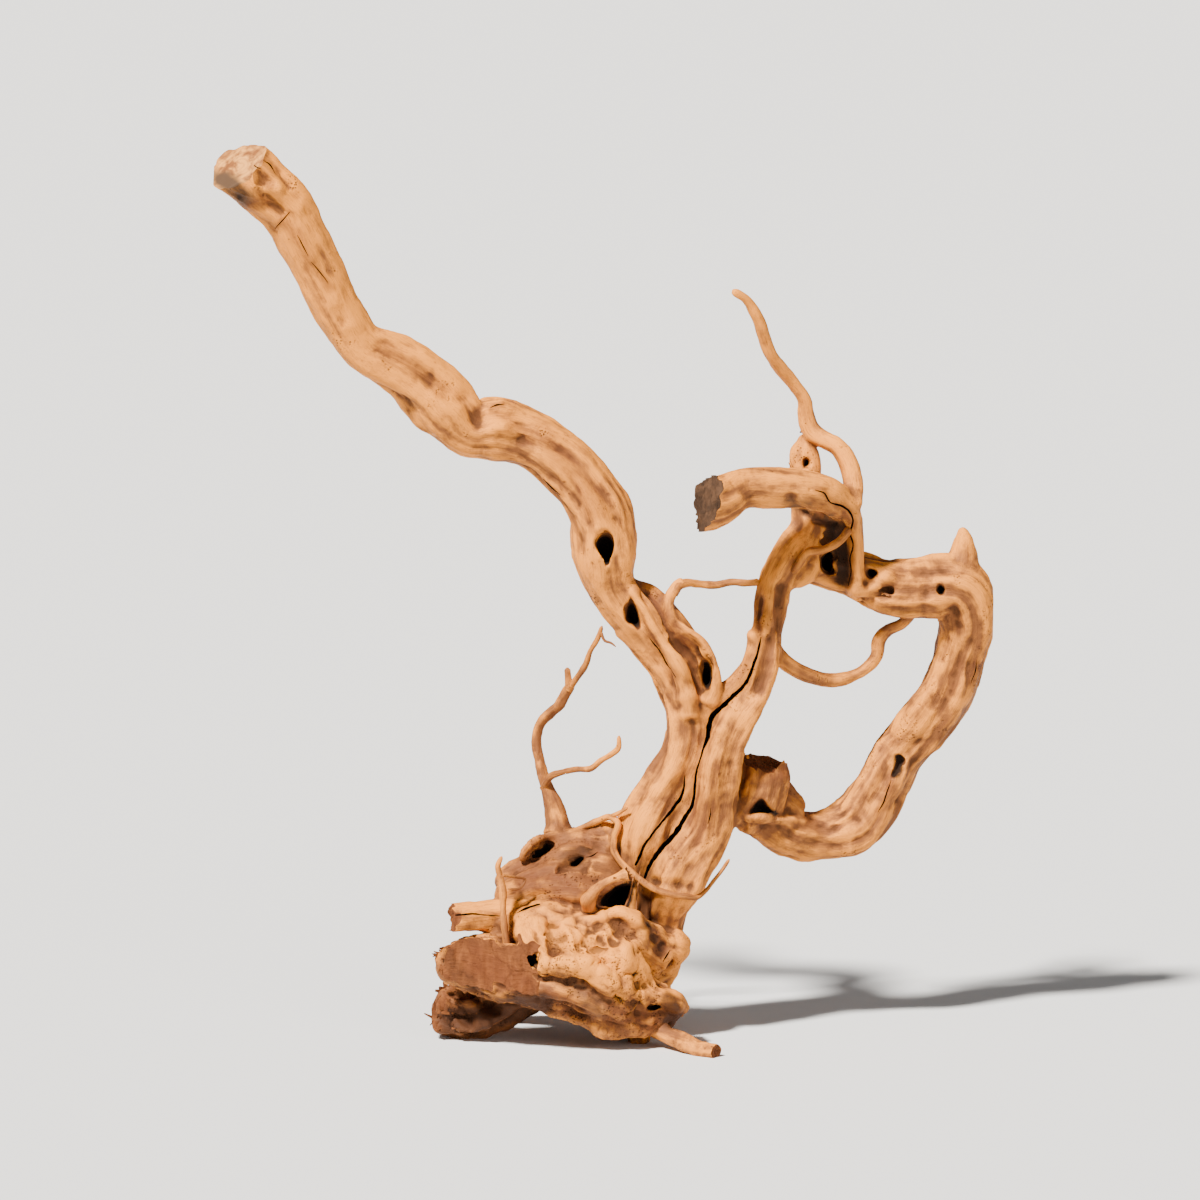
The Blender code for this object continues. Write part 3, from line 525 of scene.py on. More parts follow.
# Drawn marks by shade: half width in picture points, strength, then the line. Rust and grey are stains; the
# pale marks are painted light, and the umber and soot marks are mostly painted shade.
STAINS = {
    "rust": [
        (6, 0.8, [(812, 505), (824, 510), (834, 516)]),
        (7, 0.8, [(244, 203), (256, 206), (264, 200)]),
        (5, 0.7, [(252, 160), (262, 172), (270, 186)]),
        (5, 0.7, [(284, 222), (292, 232), (302, 246)]),
        (13, 0.8, [(752, 770), (770, 768), (782, 772)]),
        (9, 0.7, [(640, 586), (655, 600), (668, 625), (685, 645)]),
        (8, 0.5, [(752, 590), (754, 610), (756, 626)]),
        (8, 0.5, [(728, 690), (740, 675), (750, 660)]),
        (12, 0.5, [(540, 430), (560, 455), (580, 480), (598, 510)]),
        (7, 0.6, [(512, 428), (530, 437)]),
        (6, 0.5, [(300, 230), (310, 262), (330, 288)]),
        (7, 0.5, [(380, 345), (410, 362), (440, 392)]),
        (8, 0.5, [(700, 800), (690, 820), (672, 845)]),
        (8, 0.5, [(716, 770), (716, 800), (700, 840)]),
        (6, 0.7, [(655, 930), (662, 945), (655, 960)]),
        (14, 0.6, [(480, 960), (500, 975), (520, 985)]),
        (12, 0.6, [(550, 1000), (580, 1010), (640, 1020), (670, 1015)]),
        (20, 0.5, [(530, 870), (560, 885), (595, 893)]),
    ],
    # Painted light: pale marks on the lit upper faces of the brow, the left stub and a ridge of the base.
    "pale": [
        (14, 0.8, [(520, 925), (560, 935), (600, 960), (630, 970)]),
        (8, 0.7, [(470, 908), (510, 905), (540, 897)]),
        (10, 0.6, [(640, 985), (655, 975)]),
    ],
    "grey": [
        (8, 0.9, [(830, 520), (838, 540), (842, 570)]),
        (8, 0.7, [(790, 503), (806, 508)]),
        (11, 1.0, [(222, 180), (234, 186), (244, 196)]),
        (9, 0.6, [(560, 978), (580, 990), (600, 1010)]),
    ],
    # Umber marks are painted shade along grooves and round hollows, and on the lower front of the base
    # partly painted shade and partly a brown stain.
    "umber": [
        (4, 0.8, [(806, 514), (818, 520), (832, 528)]),
        (16, 0.9, [(450, 1020), (480, 1020), (510, 1010), (540, 1005)]),
        (9, 0.8, [(668, 1000), (676, 1015), (670, 1022)]),
        (8, 0.6, [(448, 955), (455, 970), (470, 985)]),
        (9, 0.5, [(565, 860), (585, 855)]),
        (10, 0.6, [(645, 870), (655, 900), (650, 920)]),
    ],
    # Painted shade: soot marks in the knot, in the recess beside the torn plate, in the ear hole and along a
    # groove of the base, and a dark mark under the sawn end of the arm.
    "soot_and_shade": [
        (5, 0.9, [(898, 758), (898, 770), (896, 776)]),
        (9, 0.7, [(838, 530), (841, 550), (843, 580)]),
        (6, 0.75, [(226, 178), (236, 184), (242, 194)]),
        (5, 0.5, [(700, 670), (706, 690)]),
        (5, 0.5, [(650, 925), (658, 940), (662, 950)]),
    ],
}

# Cut and broken ends: kind of face, a point on the plane, the way the lost wood went, half the size of
# the cut, how rough its face is and the width of its fibres.
CUTS = {
    "arm_saw_cut": (SAWN, (-179.5, -65.5, 435), (-0.46, -0.47, 0.75), 26, 0.4, 9),
    "crook_break": (GREYED, (53, -43, 270), (-0.84, -0.5, 0.2), 24, 1.9, 2.4),
    "left_stub_break": (TORN, (-73, -17, 62), (-1, -0.2, 0), 14, 2.4, 1.8),
    "stump_break": (TORN, (81, 19, 140), (0.15, -0.1, 1), 13, 2.2, 4),
    "twig_end": (TORN, (58, -44, -3.6), (0.8, -0.6, 0), 8, 0.8, 1.6),
    "left_face": (TORN, (-57, -29, 37), (-0.35, -0.93, 0.05), 29, 2.0, 6),
    "left_foot_end": (TORN, (-84, 9, 14), (-0.9, -0.4, 0.1), 20, 3, 2.5),
    "spur_break": (TORN, (14, -16, 84.5), (1, 0, 0.35), 7, 1.2, 1.6),
}

# Frayed ends: the middle, the way the splinters point, how far they spread, how many, and the longest
# and widest of them.
FRAYS = [
    ((-76, -17, 62), (-1, -0.25, 0), 6.5, 26, 2.2, 0.6),
    ((-80, 8, 20), (-0.7, -0.3, 0.7), 10, 14, 5.0, 2.0),
    ((-78, 2, 12), (-0.8, -0.5, -0.2), 9, 10, 3.4, 1.8),
    ((-75, -16, 44), (-1, -0.4, 0.4), 7, 16, 3.0, 1.2),
    ((95, 5, 288), (-0.5, -0.1, 1), 2.5, 12, 7, 0.6),
    ((103, 12, 300), (0.1, -0.3, 1), 4, 20, 1.6, 0.6),
    ((-16.5, 18, 186), (-0.1, 0, 1), 1.4, 16, 4, 0.5),
    ((80, 18, 141), (0.1, -0.2, 1), 11, 60, 2.4, 0.9),
    ((15, -16, 84.5), (1, 0, 0.35), 4, 24, 2, 0.6),
    ((57, -44, -3), (0.8, -0.6, 0), 3.5, 20, 0.8, 0.5),
]

# Noise

# How many random slopes the noise draws on, and what brings it to about -1 to 1.
SLOPES = 256
GAIN = 1.6


class Noise:
    """Smooth seeded noise of about -1 to 1 at any number of places."""

    def __init__(self, seed):
        rng = np.random.default_rng(seed)
        self.order = rng.permutation(SLOPES)
        slopes = rng.normal(size=(SLOPES, 3))
        self.slopes = slopes / np.linalg.norm(slopes, axis=1)[:, None]

    def __call__(self, places):
        cell = np.floor(places).astype(int)
        part = places - cell
        fade = part**3 * (part * (part * 6 - 15) + 10)
        total = np.zeros(len(places))
        for corner in product((0, 1), repeat=3):
            x, y, z = ((cell + corner) % SLOPES).T
            key = self.order[(self.order[(self.order[x] + y) % SLOPES] + z) % SLOPES]
            reach = ((part - corner) * self.slopes[key]).sum(1)
            total += reach * np.where(corner, fade, 1 - fade).prod(1)
        return total * GAIN

    def layered(self, places, octaves):
        """Several scales at once, each twice as fine and half as strong."""
        return sum(self(places * 2.0**k + 17.3 * k) / 2.0**k for k in range(octaves))


def ramp(value, low, high):
    """0 below low, 1 above high, smooth between."""
    t = np.clip((value - low) / (high - low), 0, 1)
    return t * t * (3 - 2 * t)


# Paths and tubes

# The thinnest radius of a limb, and the sides of its tube: how many to a millimetre, the fewest and most.
THINNEST = 0.3
SIDES_PER_MM = 0.8
SIDES_RANGE = (10, 72)

# Flutes wind round a limb by this angle for each millimetre, and change over this length.
GRAIN_TWIST = 0.006
FLUTE_LENGTH = 60

# A limb's end is rounded over these angles, and stands out by this share of its radius.
END_ANGLES = (0.5, 1.0, 1.35)
END_BULGE = 0.5

# Grain places of one limb start this far from those of the limb before it.
GRAIN_START = 271.0


def between(u, start, end, span, start_slope, end_slope):
    """Points at shares u of the way from one knot to the next, with their slopes over the span."""
    return ((2 * u**3 - 3 * u**2 + 1) * start + (u**3 - 2 * u**2 + u) * span * start_slope
            + (3 * u**2 - 2 * u**3) * end + (u**3 - u**2) * span * end_slope)


def smooth_line(knots, step):
    """A smooth curve through rows of numbers, about one step apart in their leading columns."""
    knots = np.asarray(knots, float)
    gaps = np.linalg.norm(np.diff(knots[:, :-1], axis=0), axis=1)
    t = np.concatenate(([0], np.cumsum(gaps)))
    slopes = np.gradient(knots, t, axis=0)
    rows = []
    for i, gap in enumerate(gaps):
        u = np.linspace(0, 1, max(2, round(gap / step)) + 1)[:-1, None]
        rows.append(between(u, knots[i], knots[i + 1], gap, slopes[i], slopes[i + 1]))
    return np.vstack(rows + [knots[-1:]])


def smooth_path(stations, step):
    """Places and radii along a smooth curve through sighted stations."""
    path = smooth_line(np.column_stack((stand(stations), [s[3] for s in stations])), step)
    return path[:, :3], np.maximum(path[:, 3], THINNEST)


class Limb:
    """A limb's middle line with its radii, the distance along it, and axes that don't twist."""

    def __init__(self, stations, flutes, rough, tone, step=1.5):
        self.flutes, self.rough, self.tone = flutes, rough, tone
        self.places, self.radii = smooth_path(stations, step)
        steps = np.diff(self.places, axis=0)
        self.along = np.concatenate(([0], np.cumsum(np.linalg.norm(steps, axis=1))))
        self.ahead = np.gradient(self.places, self.along, axis=0)
        self.ahead /= np.linalg.norm(self.ahead, axis=1)[:, None]
        side = np.cross(self.ahead[0], SIGHT)
        self.side = np.empty_like(self.places)
        for i, ahead in enumerate(self.ahead):
            side = side - ahead * (side @ ahead)
            side /= np.linalg.norm(side)
            self.side[i] = side
        self.up = np.cross(self.ahead, self.side)

    def fluting(self, noise, angles):
        """How far the skin swells out and folds in, as shares of the radius."""
        turn = angles[None] + GRAIN_TWIST * self.along[:, None]
        along = np.repeat(self.along[:, None] / FLUTE_LENGTH, len(angles), 1)
        flat = np.stack((np.cos(turn) * 1.3, np.sin(turn) * 1.3, along), 2).reshape(-1, 3)
        folds = 1 - np.abs(noise(flat * (1.5, 1.5, 1)))
        swell = noise(flat * (0.9, 0.9, 1.7) + 9.1)
        shape = 1 + self.flutes * (1.7 * swell - 1.8 * folds**4 + 0.45)
        return shape.reshape(turn.shape)

    def tube(self, seed):
        """Points and faces of a fluted closed skin round the limb, with rounded ends."""
        sides = int(np.clip(tau * self.radii.max() * SIDES_PER_MM, *SIDES_RANGE))
        angles = np.arange(sides) * tau / sides
        reach = self.radii[:, None] * self.fluting(Noise(seed), angles)
        ring = np.column_stack((np.cos(angles), np.sin(angles)))
        out = ring[:, 0, None] * self.side[:, None] + ring[:, 1, None] * self.up[:, None]
        skin = self.places[:, None] + out * reach[..., None]
        first, last = (self.end_rings(skin, *end) for end in ((0, -1), (-1, 1)))
        return tube_faces(np.array(first[::-1] + list(skin) + last))

    def end_rings(self, skin, row, way):
        """The rings that round off one end of the limb's skin."""
        middle, out = self.places[row], skin[row] - self.places[row]
        bulge = self.ahead[row] * way * self.radii[row] * END_BULGE
        return [middle + out * cos(angle) + bulge * sin(angle) for angle in END_ANGLES]

    def grain_at(self, points):
        """How far points lie from the limb's surface, and their places across and along its grain."""
        gaps = np.linalg.norm(points[:, None] - self.places[None], axis=2) - self.radii
        i = gaps.argmin(1)
        off = points - self.places[i]
        places = np.column_stack(((off * self.side[i]).sum(1), (off * self.up[i]).sum(1),
                                  self.along[i] + (off * self.ahead[i]).sum(1)))
        return gaps[np.arange(len(points)), i], places


def tube_faces(rings):
    """Points and faces that close a run of rings into a tube."""
    count, sides = rings.shape[:2]
    points = np.vstack((rings.reshape(-1, 3), rings[0].mean(0), rings[-1].mean(0)))
    i, j = np.meshgrid(np.arange(count - 1), np.arange(sides), indexing="ij")
    a, b = i * sides + j, i * sides + (j + 1) % sides
    quads = np.stack((a, b, b + sides, a + sides), -1).reshape(-1, 4)
    first, last, base = count * sides, count * sides + 1, (count - 1) * sides
    j = np.arange(sides)
    starts = np.column_stack(((j + 1) % sides, j, np.full(sides, first)))
    stops = np.column_stack((base + j, base + (j + 1) % sides, np.full(sides, last)))
    return points, quads.tolist() + starts.tolist() + stops.tolist()


# Meshes


def mesh_object(name, points, faces):
    """A new object in the scene, from points in millimetres."""
    mesh = bpy.data.meshes.new(name)
    mesh.from_pydata((np.asarray(points) * MM).tolist(), [], faces)
    item = bpy.data.objects.new(name, mesh)
    bpy.context.scene.collection.objects.link(item)
    return item


def joined(parts):
    """Several (points, faces) as one."""
    points, faces, start = [], [], 0
    for p, f in parts:
        points.append(p)
        faces += [[v + start for v in face] for face in f]
        start += len(p)
    return np.vstack(points), faces


def closed_outward(item):
    """Turns every face of a closed mesh outwards."""
    shape = bmesh.new()
    shape.from_mesh(item.data)
    bmesh.ops.recalc_face_normals(shape, faces=shape.faces)
    shape.to_mesh(item.data)
    shape.free()
    return item


def apply_modifiers(item):
    """Makes the item's evaluated shape its plain mesh."""
    graph = bpy.context.evaluated_depsgraph_get()
    mesh = bpy.data.meshes.new_from_object(item.evaluated_get(graph))
    item.modifiers.clear()
    old, item.data = item.data, mesh
    bpy.data.meshes.remove(old)


def fuse(item, voxel):
    """Makes overlapping shells one skin of even voxels."""
    step = item.modifiers.new("fuse", "REMESH")
    step.mode = "VOXEL"
    step.voxel_size = voxel * MM
    apply_modifiers(item)


def thin_out(item, triangles):
    """Leaves the item about as many triangles as given."""
    item.data.calc_loop_triangles()
    step = item.modifiers.new("thin", "DECIMATE")
    step.ratio = min(1.0, triangles / len(item.data.loop_triangles))
    apply_modifiers(item)


def carve(item, cutters):
    """Takes the cutters out of the item and removes them. Cut faces keep the cutter's face kind."""
    lost = bpy.data.collections.new("lost_wood")
    bpy.context.scene.collection.children.link(lost)
    for cutter in cutters:
        bpy.context.scene.collection.objects.unlink(cutter)
        lost.objects.link(cutter)
    step = item.modifiers.new("carve", "BOOLEAN")
    step.operation = "DIFFERENCE"
    step.operand_type = "COLLECTION"
    step.collection = lost
    step.solver = "MANIFOLD"
    apply_modifiers(item)
    for cutter in cutters:
        bpy.data.objects.remove(cutter)
    bpy.data.collections.remove(lost)


def of_kind(item, kind):
    """Gives every face of the item one kind, which is the number of its material."""
    for _ in range(len(FACE_KINDS)):
        item.data.materials.append(None)
    item.data.polygons.foreach_set("material_index", [kind] * len(item.data.polygons))
    return item


def ball(place, radius, noise):
    """A lumpy burl at a sighted place."""
    shape = bmesh.new()
    bmesh.ops.create_icosphere(shape, subdivisions=4, radius=1.0)
    points = np.array([v.co for v in shape.verts])
    faces = [[v.index for v in f.verts] for f in shape.faces]
    shape.free()
    centre = stand([place])[0]
    points *= radius * (1 + 0.12 * noise(points * 1.7 + centre * 0.1)[:, None])
    return points + centre, faces


# Half the width, and the depth, of the block that cuts off what lies under the ground.
GROUND_SIZE = 400.0


def ground_block():
    """A block from the ground down."""
    s = GROUND_SIZE
    points = [(x * s, y * s, z * s) for x, y, z in product((-1, 1), (-1, 1), (-1, 0))]
    faces = [(0, 1, 3, 2), (4, 6, 7, 5), (0, 4, 5, 1), (2, 3, 7, 6), (0, 2, 6, 4), (1, 5, 7, 3)]
    return closed_outward(mesh_object("ground", points, faces))


# Steps across a torn face: at least this many, and more for each millimetre of its half size. Its fibres are
# this many times as long as they are wide.
TORN_STEPS, TORN_STEPS_PER_MM = 15, 2.4
FIBRE_STRETCH = 4


def torn_block(kind, place, direction, half, rough, fibre, noise):
    """A block whose inner face lies in the cut plane, torn along its fibres."""
    count = TORN_STEPS + int(half * TORN_STEPS_PER_MM)
    across = np.linspace(-half, half, count)
    u, v = np.meshgrid(across, across, indexing="ij")
    seeds = np.stack((u.ravel() / fibre, v.ravel() / (FIBRE_STRETCH * fibre), np.zeros(count**2)), 1)
    tear = rough * (noise(seeds) + 0.6 * noise(seeds * 2.3 + 8) + 0.5 * noise(seeds * 0.25 + 3))
    near = np.column_stack((u.ravel(), v.ravel(), tear))
    far = np.column_stack((u.ravel(), v.ravel(), np.full(count**2, 2.0 * half)))
    grid = np.arange(count**2).reshape(count, count)
    quads = np.stack((grid[:-1, :-1], grid[1:, :-1], grid[1:, 1:], grid[:-1, 1:]), -1).reshape(-1, 4)
    rim = np.concatenate((grid[0, :-1], grid[:-1, -1], grid[-1, :0:-1], grid[:0:-1, 0]))
    faces = quads[:, ::-1].tolist() + (quads + count**2).tolist()
    faces += [[a, b, b + count**2, a + count**2] for a, b in zip(rim, np.roll(rim, -1))]
    turn = np.array(Vector(direction).normalized().to_track_quat("Z", "Y").to_matrix())
    points = np.vstack((near, far)) @ turn.T + stand([place])[0]
    return of_kind(closed_outward(mesh_object("torn_block", points, faces)), kind)


# Skin

# How sharp an inner corner, in millimetres, is filled at full strength.
CREASE_REACH = 0.12

# Facing of a surface below which the camera doesn't see it, and from which it sees it in full.
GRAZING, FACING = 0.02, 0.3

# A line of sight may end this far in front of a point that it still reaches.
SIGHT_SLACK = 1.2


class Skin:
    """A mesh's points in millimetres, with its neighbours and normals at hand."""

    def __init__(self, item):
        self.item, mesh = item, item.data
        self.points = np.empty(len(mesh.vertices) * 3)
        mesh.vertices.foreach_get("co", self.points)
        self.points = self.points.reshape(-1, 3) / MM
        edges = np.empty(len(mesh.edges) * 2, int)
        mesh.edges.foreach_get("vertices", edges)
        self.a, self.b = edges.reshape(-1, 2).T
        n = len(self.points)
        self.degree = np.bincount(self.a, minlength=n) + np.bincount(self.b, minlength=n)
        self.refresh()

    def refresh(self):
        """Writes the points back and reads fresh normals."""
        mesh = self.item.data
        mesh.vertices.foreach_set("co", (self.points * MM).ravel())
        mesh.update()
        normals = np.empty(len(self.points) * 3)
        mesh.vertices.foreach_get("normal", normals)
        self.normals = normals.reshape(-1, 3)

    def spread(self, values):
        """Each point's mean over its neighbours."""
        n = len(self.points)
        if values.ndim == 1:
            total = np.bincount(self.a, values[self.b], n) + np.bincount(self.b, values[self.a], n)
            return total / self.degree
        return np.column_stack([self.spread(values[:, k]) for k in range(values.shape[1])])

    def soften(self, rounds, weight=0.5):
        """Draws each point towards the mean of its neighbours."""
        for _ in range(rounds):
            self.points += (self.spread(self.points) - self.points) * weight
        self.refresh()

    def fill_creases(self, rounds):
        """Rounds the inner corners where limbs meet and leaves the outer shapes alone."""
        for k in range(rounds):
            pull = self.spread(self.points) - self.points
            inward = (pull * self.normals).sum(1)
            self.points += pull * (0.6 * ramp(inward, 0.0, CREASE_REACH))[:, None]
            if k % 5 == 4:
                self.refresh()
        self.refresh()

    def relief(self, rounds):
        """How far each point stands out of the softened surface: above 0 on ridges, below in grooves."""
        soft = self.points.copy()
        for _ in range(rounds):
            soft += (self.spread(soft) - soft) * 0.6
        return ((self.points - soft) * self.normals).sum(1)

    def push(self, amount):
        """Moves each point out along its normal."""
        self.points += self.normals * amount[:, None]
        self.refresh()


class Sight:
    """What the camera sees of a skin."""

    def __init__(self, skin):
        self.skin, mesh = skin, skin.item.data
        mesh.calc_loop_triangles()
        corners = np.empty(len(mesh.loop_triangles) * 3, int)
        mesh.loop_triangles.foreach_get("vertices", corners)
        self.tree = BVHTree.FromPolygons(skin.points.tolist(), corners.reshape(-1, 3).tolist())

    def shares(self):
        """1 where the camera sees a point, 0 where other wood hides it or the surface turns away."""
        skin = self.skin
        rays = skin.points - EYE
        far = np.linalg.norm(rays, axis=1)
        facing = -(rays * skin.normals).sum(1) / far
        result = np.zeros(len(skin.points))
        eye = Vector(EYE)
        for i in np.nonzero(facing > GRAZING)[0]:
            result[i] = self.tree.ray_cast(eye, Vector(rays[i]), far[i] - SIGHT_SLACK)[0] is None
        for _ in range(2):
            result = np.minimum(result, skin.spread(result) * 1.2)
        return result * ramp(facing, GRAZING, FACING)

    def surface(self, spots):
        """How far lines of sight through picture points go to the skin, with misses filled in."""
        hits = [self.tree.ray_cast(Vector(EYE), Vector(way)) for way in sight_lines(spots)]
        reach = np.array([np.nan if hit[0] is None else hit[3] for hit in hits])
        found = np.nonzero(~np.isnan(reach))[0]
        return np.interp(np.arange(len(reach)), found, reach[found])


def sight_lines(spots):
    """Unit directions from the eye through picture points."""
    off = (np.asarray(spots, float)[:, :2] - PICTURE_MIDDLE) / POINTS_PER_MM
    ways = SIGHT * CAMERA_DISTANCE + off[:, :1] * np.array((1.0, 0, 0)) - off[:, 1:] * SIGHT_UP
    return ways / np.linalg.norm(ways, axis=1)[:, None]


def stroke(spots, points):
    """Distance in picture points from each spot to a drawn line."""
    line = np.asarray(points, float)
    best = np.linalg.norm(spots - line[0], axis=1)
    for p, q in zip(line, line[1:]):
        way = q - p
        t = np.clip((spots - p) @ way / (way @ way), 0, 1)
        best = np.minimum(best, np.linalg.norm(spots - p - t[:, None] * way, axis=1))
    return best


def near_line(spots, line, reach):
    """Which spots lie in the box round a drawn line, widened by a reach."""
    corners = np.asarray(line, float)
    return ((spots > corners.min(0) - reach) & (spots < corners.max(0) + reach)).all(1)


def wandering_spots(points, seed, size, sway):
    """Where points fall in the picture, swayed by noise so that drawn lines wander."""
    wander = Noise(seed)
    return picture(points) + sway * np.column_stack((wander(points / size), wander(points / size + 50)))


def closed_curve(rim, spans=4):
    """A smooth closed curve through the points of a rim."""
    p = np.asarray(rim, float)
    before, after, beyond = np.roll(p, 1, 0), np.roll(p, -1, 0), np.roll(p, -2, 0)
    rows = [between(u, p, after, 0.5, after - before, beyond - p) for u in np.arange(spans) / spans]
    return np.stack(rows, 1).reshape(-1, 2)


# A hole's mouth starts this far in front of the skin and this much wider than its rim, which sways by this
# much over this length, in picture points.
MOUTH_FRONT, MOUTH_SIZE = -6, 1.25
RIM_SWAY, RIM_WAVE = 0.8, 7


def hollow(sight, depth, narrowing, rim, noise):
    """A hole with the drawn rim, bored along the line of sight and narrowing to its back."""
    flat = closed_curve(rim)
    flat += RIM_SWAY * noise(np.column_stack((flat / RIM_WAVE, np.full(len(flat), depth))))[:, None]
    middle = flat.mean(0)
    reach = np.median(sight.surface(flat))
    rings = []
    halfway, end = (depth * 0.5, 1 - narrowing * 0.45), (depth, 1 - narrowing)
    for back, size in ((MOUTH_FRONT, MOUTH_SIZE), (0, 1.0), halfway, end):
        rings.append(EYE + sight_lines(middle + (flat - middle) * size) * (reach + back))
    points, faces = tube_faces(np.array(rings))
    return of_kind(closed_outward(mesh_object("hollow", points, faces)), WOOD)


# How far apart the places along a crack are, over how many of them its ends grow shallow, how far its lips
# start in front of the skin, and the shares of its half width at the lips and at the bottom.
CRACK_STEP = 1.5
CRACK_FADE = 9
CRACK_FRONT = -4
LIP_WIDTH, BOTTOM_WIDTH = 1.05, 0.3

# How far a crack sways, and by what shares its half width and its depth vary.
CRACK_SWAY, WIDTH_VARIES, DEPTH_VARIES = 0.5, 0.4, 0.2


def crack(sight, depth, stations, noise):
    """A wedge along a drawn crack, following the surface, with wandering lips."""
    line = smooth_line(np.array(stations, float), CRACK_STEP)
    n = len(line)
    marks = np.column_stack((np.arange(n) * 0.13, np.zeros(n), np.full(n, depth * 3.1)))
    ahead = np.gradient(line[:, :2], axis=0)
    across = np.column_stack((-ahead[:, 1], ahead[:, 0])) / np.linalg.norm(ahead, axis=1)[:, None]
    line[:, :2] += across * CRACK_SWAY * noise(marks + 5)[:, None]
    reach = sight.surface(line)
    for _ in range(6):
        reach[1:-1] = (reach[:-2] + reach[1:-1] * 2 + reach[2:]) / 4
    left = line[:, 2] * (1 + WIDTH_VARIES * noise(marks * 2 + 30))
    right = line[:, 2] * (1 + WIDTH_VARIES * noise(marks * 2 + 60))
    from_end = np.minimum(np.arange(n), np.arange(n)[::-1]) + 3.0
    back = depth * (1 + DEPTH_VARIES * noise(marks + 90)) * ramp(from_end, 0, CRACK_FADE)
    corners = []
    for side, wide, deep in ((left, LIP_WIDTH, CRACK_FRONT), (left, BOTTOM_WIDTH, back),
                             (-right, BOTTOM_WIDTH, back), (-right, LIP_WIDTH, CRACK_FRONT)):
        spots = line[:, :2] + across * (side * wide)[:, None]
        corners.append(EYE + sight_lines(spots) * (reach + deep)[:, None])
    points, faces = tube_faces(np.stack(corners, 1))
    return of_kind(closed_outward(mesh_object("crack", points, faces)), CRACKED)


# How far from a limb's surface its grain reaches, how many points are compared at once, and over what
# difference in distance the grain of two limbs mixes.
GRAIN_REACH = 22
CHUNK = 20000
GRAIN_MIX = 5.0


def nearest_two(points, limbs):
    """For each point: grain places on its two nearest limbs, the share of the second, and their traits."""
    n = len(points)
    best = np.full((2, n), 1e9)
    grain = np.zeros((2, n, 3))
    traits = np.zeros((2, n, 2))
    for k, limb in enumerate(limbs):
        near = np.nonzero(near_line(points, limb.places, limb.radii.max() + GRAIN_REACH))[0]
        for chunk in np.array_split(near, max(1, len(near) // CHUNK)):
            gap, places = limb.grain_at(points[chunk])
            places[:, 2] += GRAIN_START * k
            mine = np.tile((limb.rough, limb.tone), (len(chunk), 1))
            first = gap < best[0, chunk]
            second = ~first & (gap < best[1, chunk])
            for store, new in ((grain, places), (traits, mine), (best, gap)):
                store[1, chunk[first]] = store[0, chunk[first]]
                store[0, chunk[first]] = new[first]
                store[1, chunk[second]] = new[second]
    share = 0.5 * (1 - ramp(best[1] - best[0], 0.0, GRAIN_MIX))
    mixed = traits[0] * (1 - share)[:, None] + traits[1] * share[:, None]
    return grain[0], grain[1], share, mixed[:, 0], mixed[:, 1]


def fused_limbs(limbs, noise):
    """The limbs and burls as one skin, with its inner corners filled."""
    parts = [limb.tube(100 + k) for k, limb in enumerate(limbs)]
    parts += [ball((x, y, v), r, noise) for x, y, v, r in BURLS]
    item = mesh_object("wood", *joined(parts))
    fuse(item, SKIN_VOXEL)
    skin = Skin(item)
    skin.soften(rounds=2)
    skin.fill_creases(rounds=30)
    return skin


def break_open(item, noise):
    """Cuts the cracks, the sawn and torn ends and the ground out of the wood."""
    sight = Sight(Skin(item))
    of_kind(item, WOOD)
    cutters = [crack(sight, *shape, noise) for shape in CRACKS.values()]
    cutters += [torn_block(*cut, noise) for cut in CUTS.values()]
    carve(item, cutters + [of_kind(ground_block(), WOOD)])


def grow_skin(limbs):
    """The fused, hollowed, weathered and cracked wood."""
    noise = Noise(5)
    skin = fused_limbs(limbs, noise)
    item, sight = skin.item, Sight(skin)
    carve(item, [hollow(sight, *shape, noise) for shape in HOLLOWS.values()])
    fuse(item, FINE_VOXEL)
    skin = Skin(item)
    skin.soften(rounds=2)
    weather(skin, limbs)
    press_relief(skin)
    thin_out(item, SKIN_TRIANGLES)
    break_open(item, noise)
    keep_inside(item)
    return item


def keep_inside(item):
    """Draws in the few points that stand out of the solid's box."""
    skin = Skin(item)
    low, high = (np.array(corner) / MM for corner in cad_box)
    skin.points = np.clip(skin.points, low + (BOX_MARGIN, BOX_MARGIN, 0), high - BOX_MARGIN)
    skin.refresh()


# Shapes along the grain: width across it and length along it.
RIDGE_GRAIN, FINE_GRAIN, FOLD_GRAIN, LEDGE_GRAIN = (7.0, 70.0), (2.4, 34.0), (11.0, 40.0), (4.5, 30.0)

# Sizes of the lumps, the crags, the pits and the places where pits crowd.
LUMP, CRAG, PIT, PIT_CROWD = 19.0, 12.0, 2.2, 21.0


def weather(skin, limbs):
    """Grain ridges, lumps and pits, stronger where the wood is eroded."""
    first, second, share, rough, _ = nearest_two(skin.points, limbs)
    fold, lump, pit = Noise(21), Noise(22), Noise(23)

    def along_grain(noise, size):
        across, along = size
        scale = np.array((1 / across, 1 / across, 1 / along))
        return noise(first * scale) * (1 - share) + noise(second * scale) * share

    ridges, fine = along_grain(fold, RIDGE_GRAIN), along_grain(fold, FINE_GRAIN)
    folds = 1 - 2 * np.abs(along_grain(fold, FOLD_GRAIN))
    ledges = 1 - 2 * np.abs(along_grain(pit, LEDGE_GRAIN))
    lumps = lump.layered(skin.points / LUMP, 3)
    crags = 1 - 2 * np.abs(lump.layered(skin.points / CRAG + 31, 3))
    pits = ramp(pit(skin.points / PIT), 0.55, 0.85)
    few = ramp(pit(skin.points / PIT_CROWD + 5), 0.1, 0.5)
    amount = 0.8 * ridges + 0.24 * fine + 0.6 * lumps - 0.5 * pits * few
    amount += rough * (1.1 * crags + 1.1 * folds + 0.7 * ledges + 0.9 * lumps - 1.0 * pits * few)
    skin.push(amount - 0.3)


# How far in and out the drawn relief may press the skin.
DEEPEST, HIGHEST = -5, 4


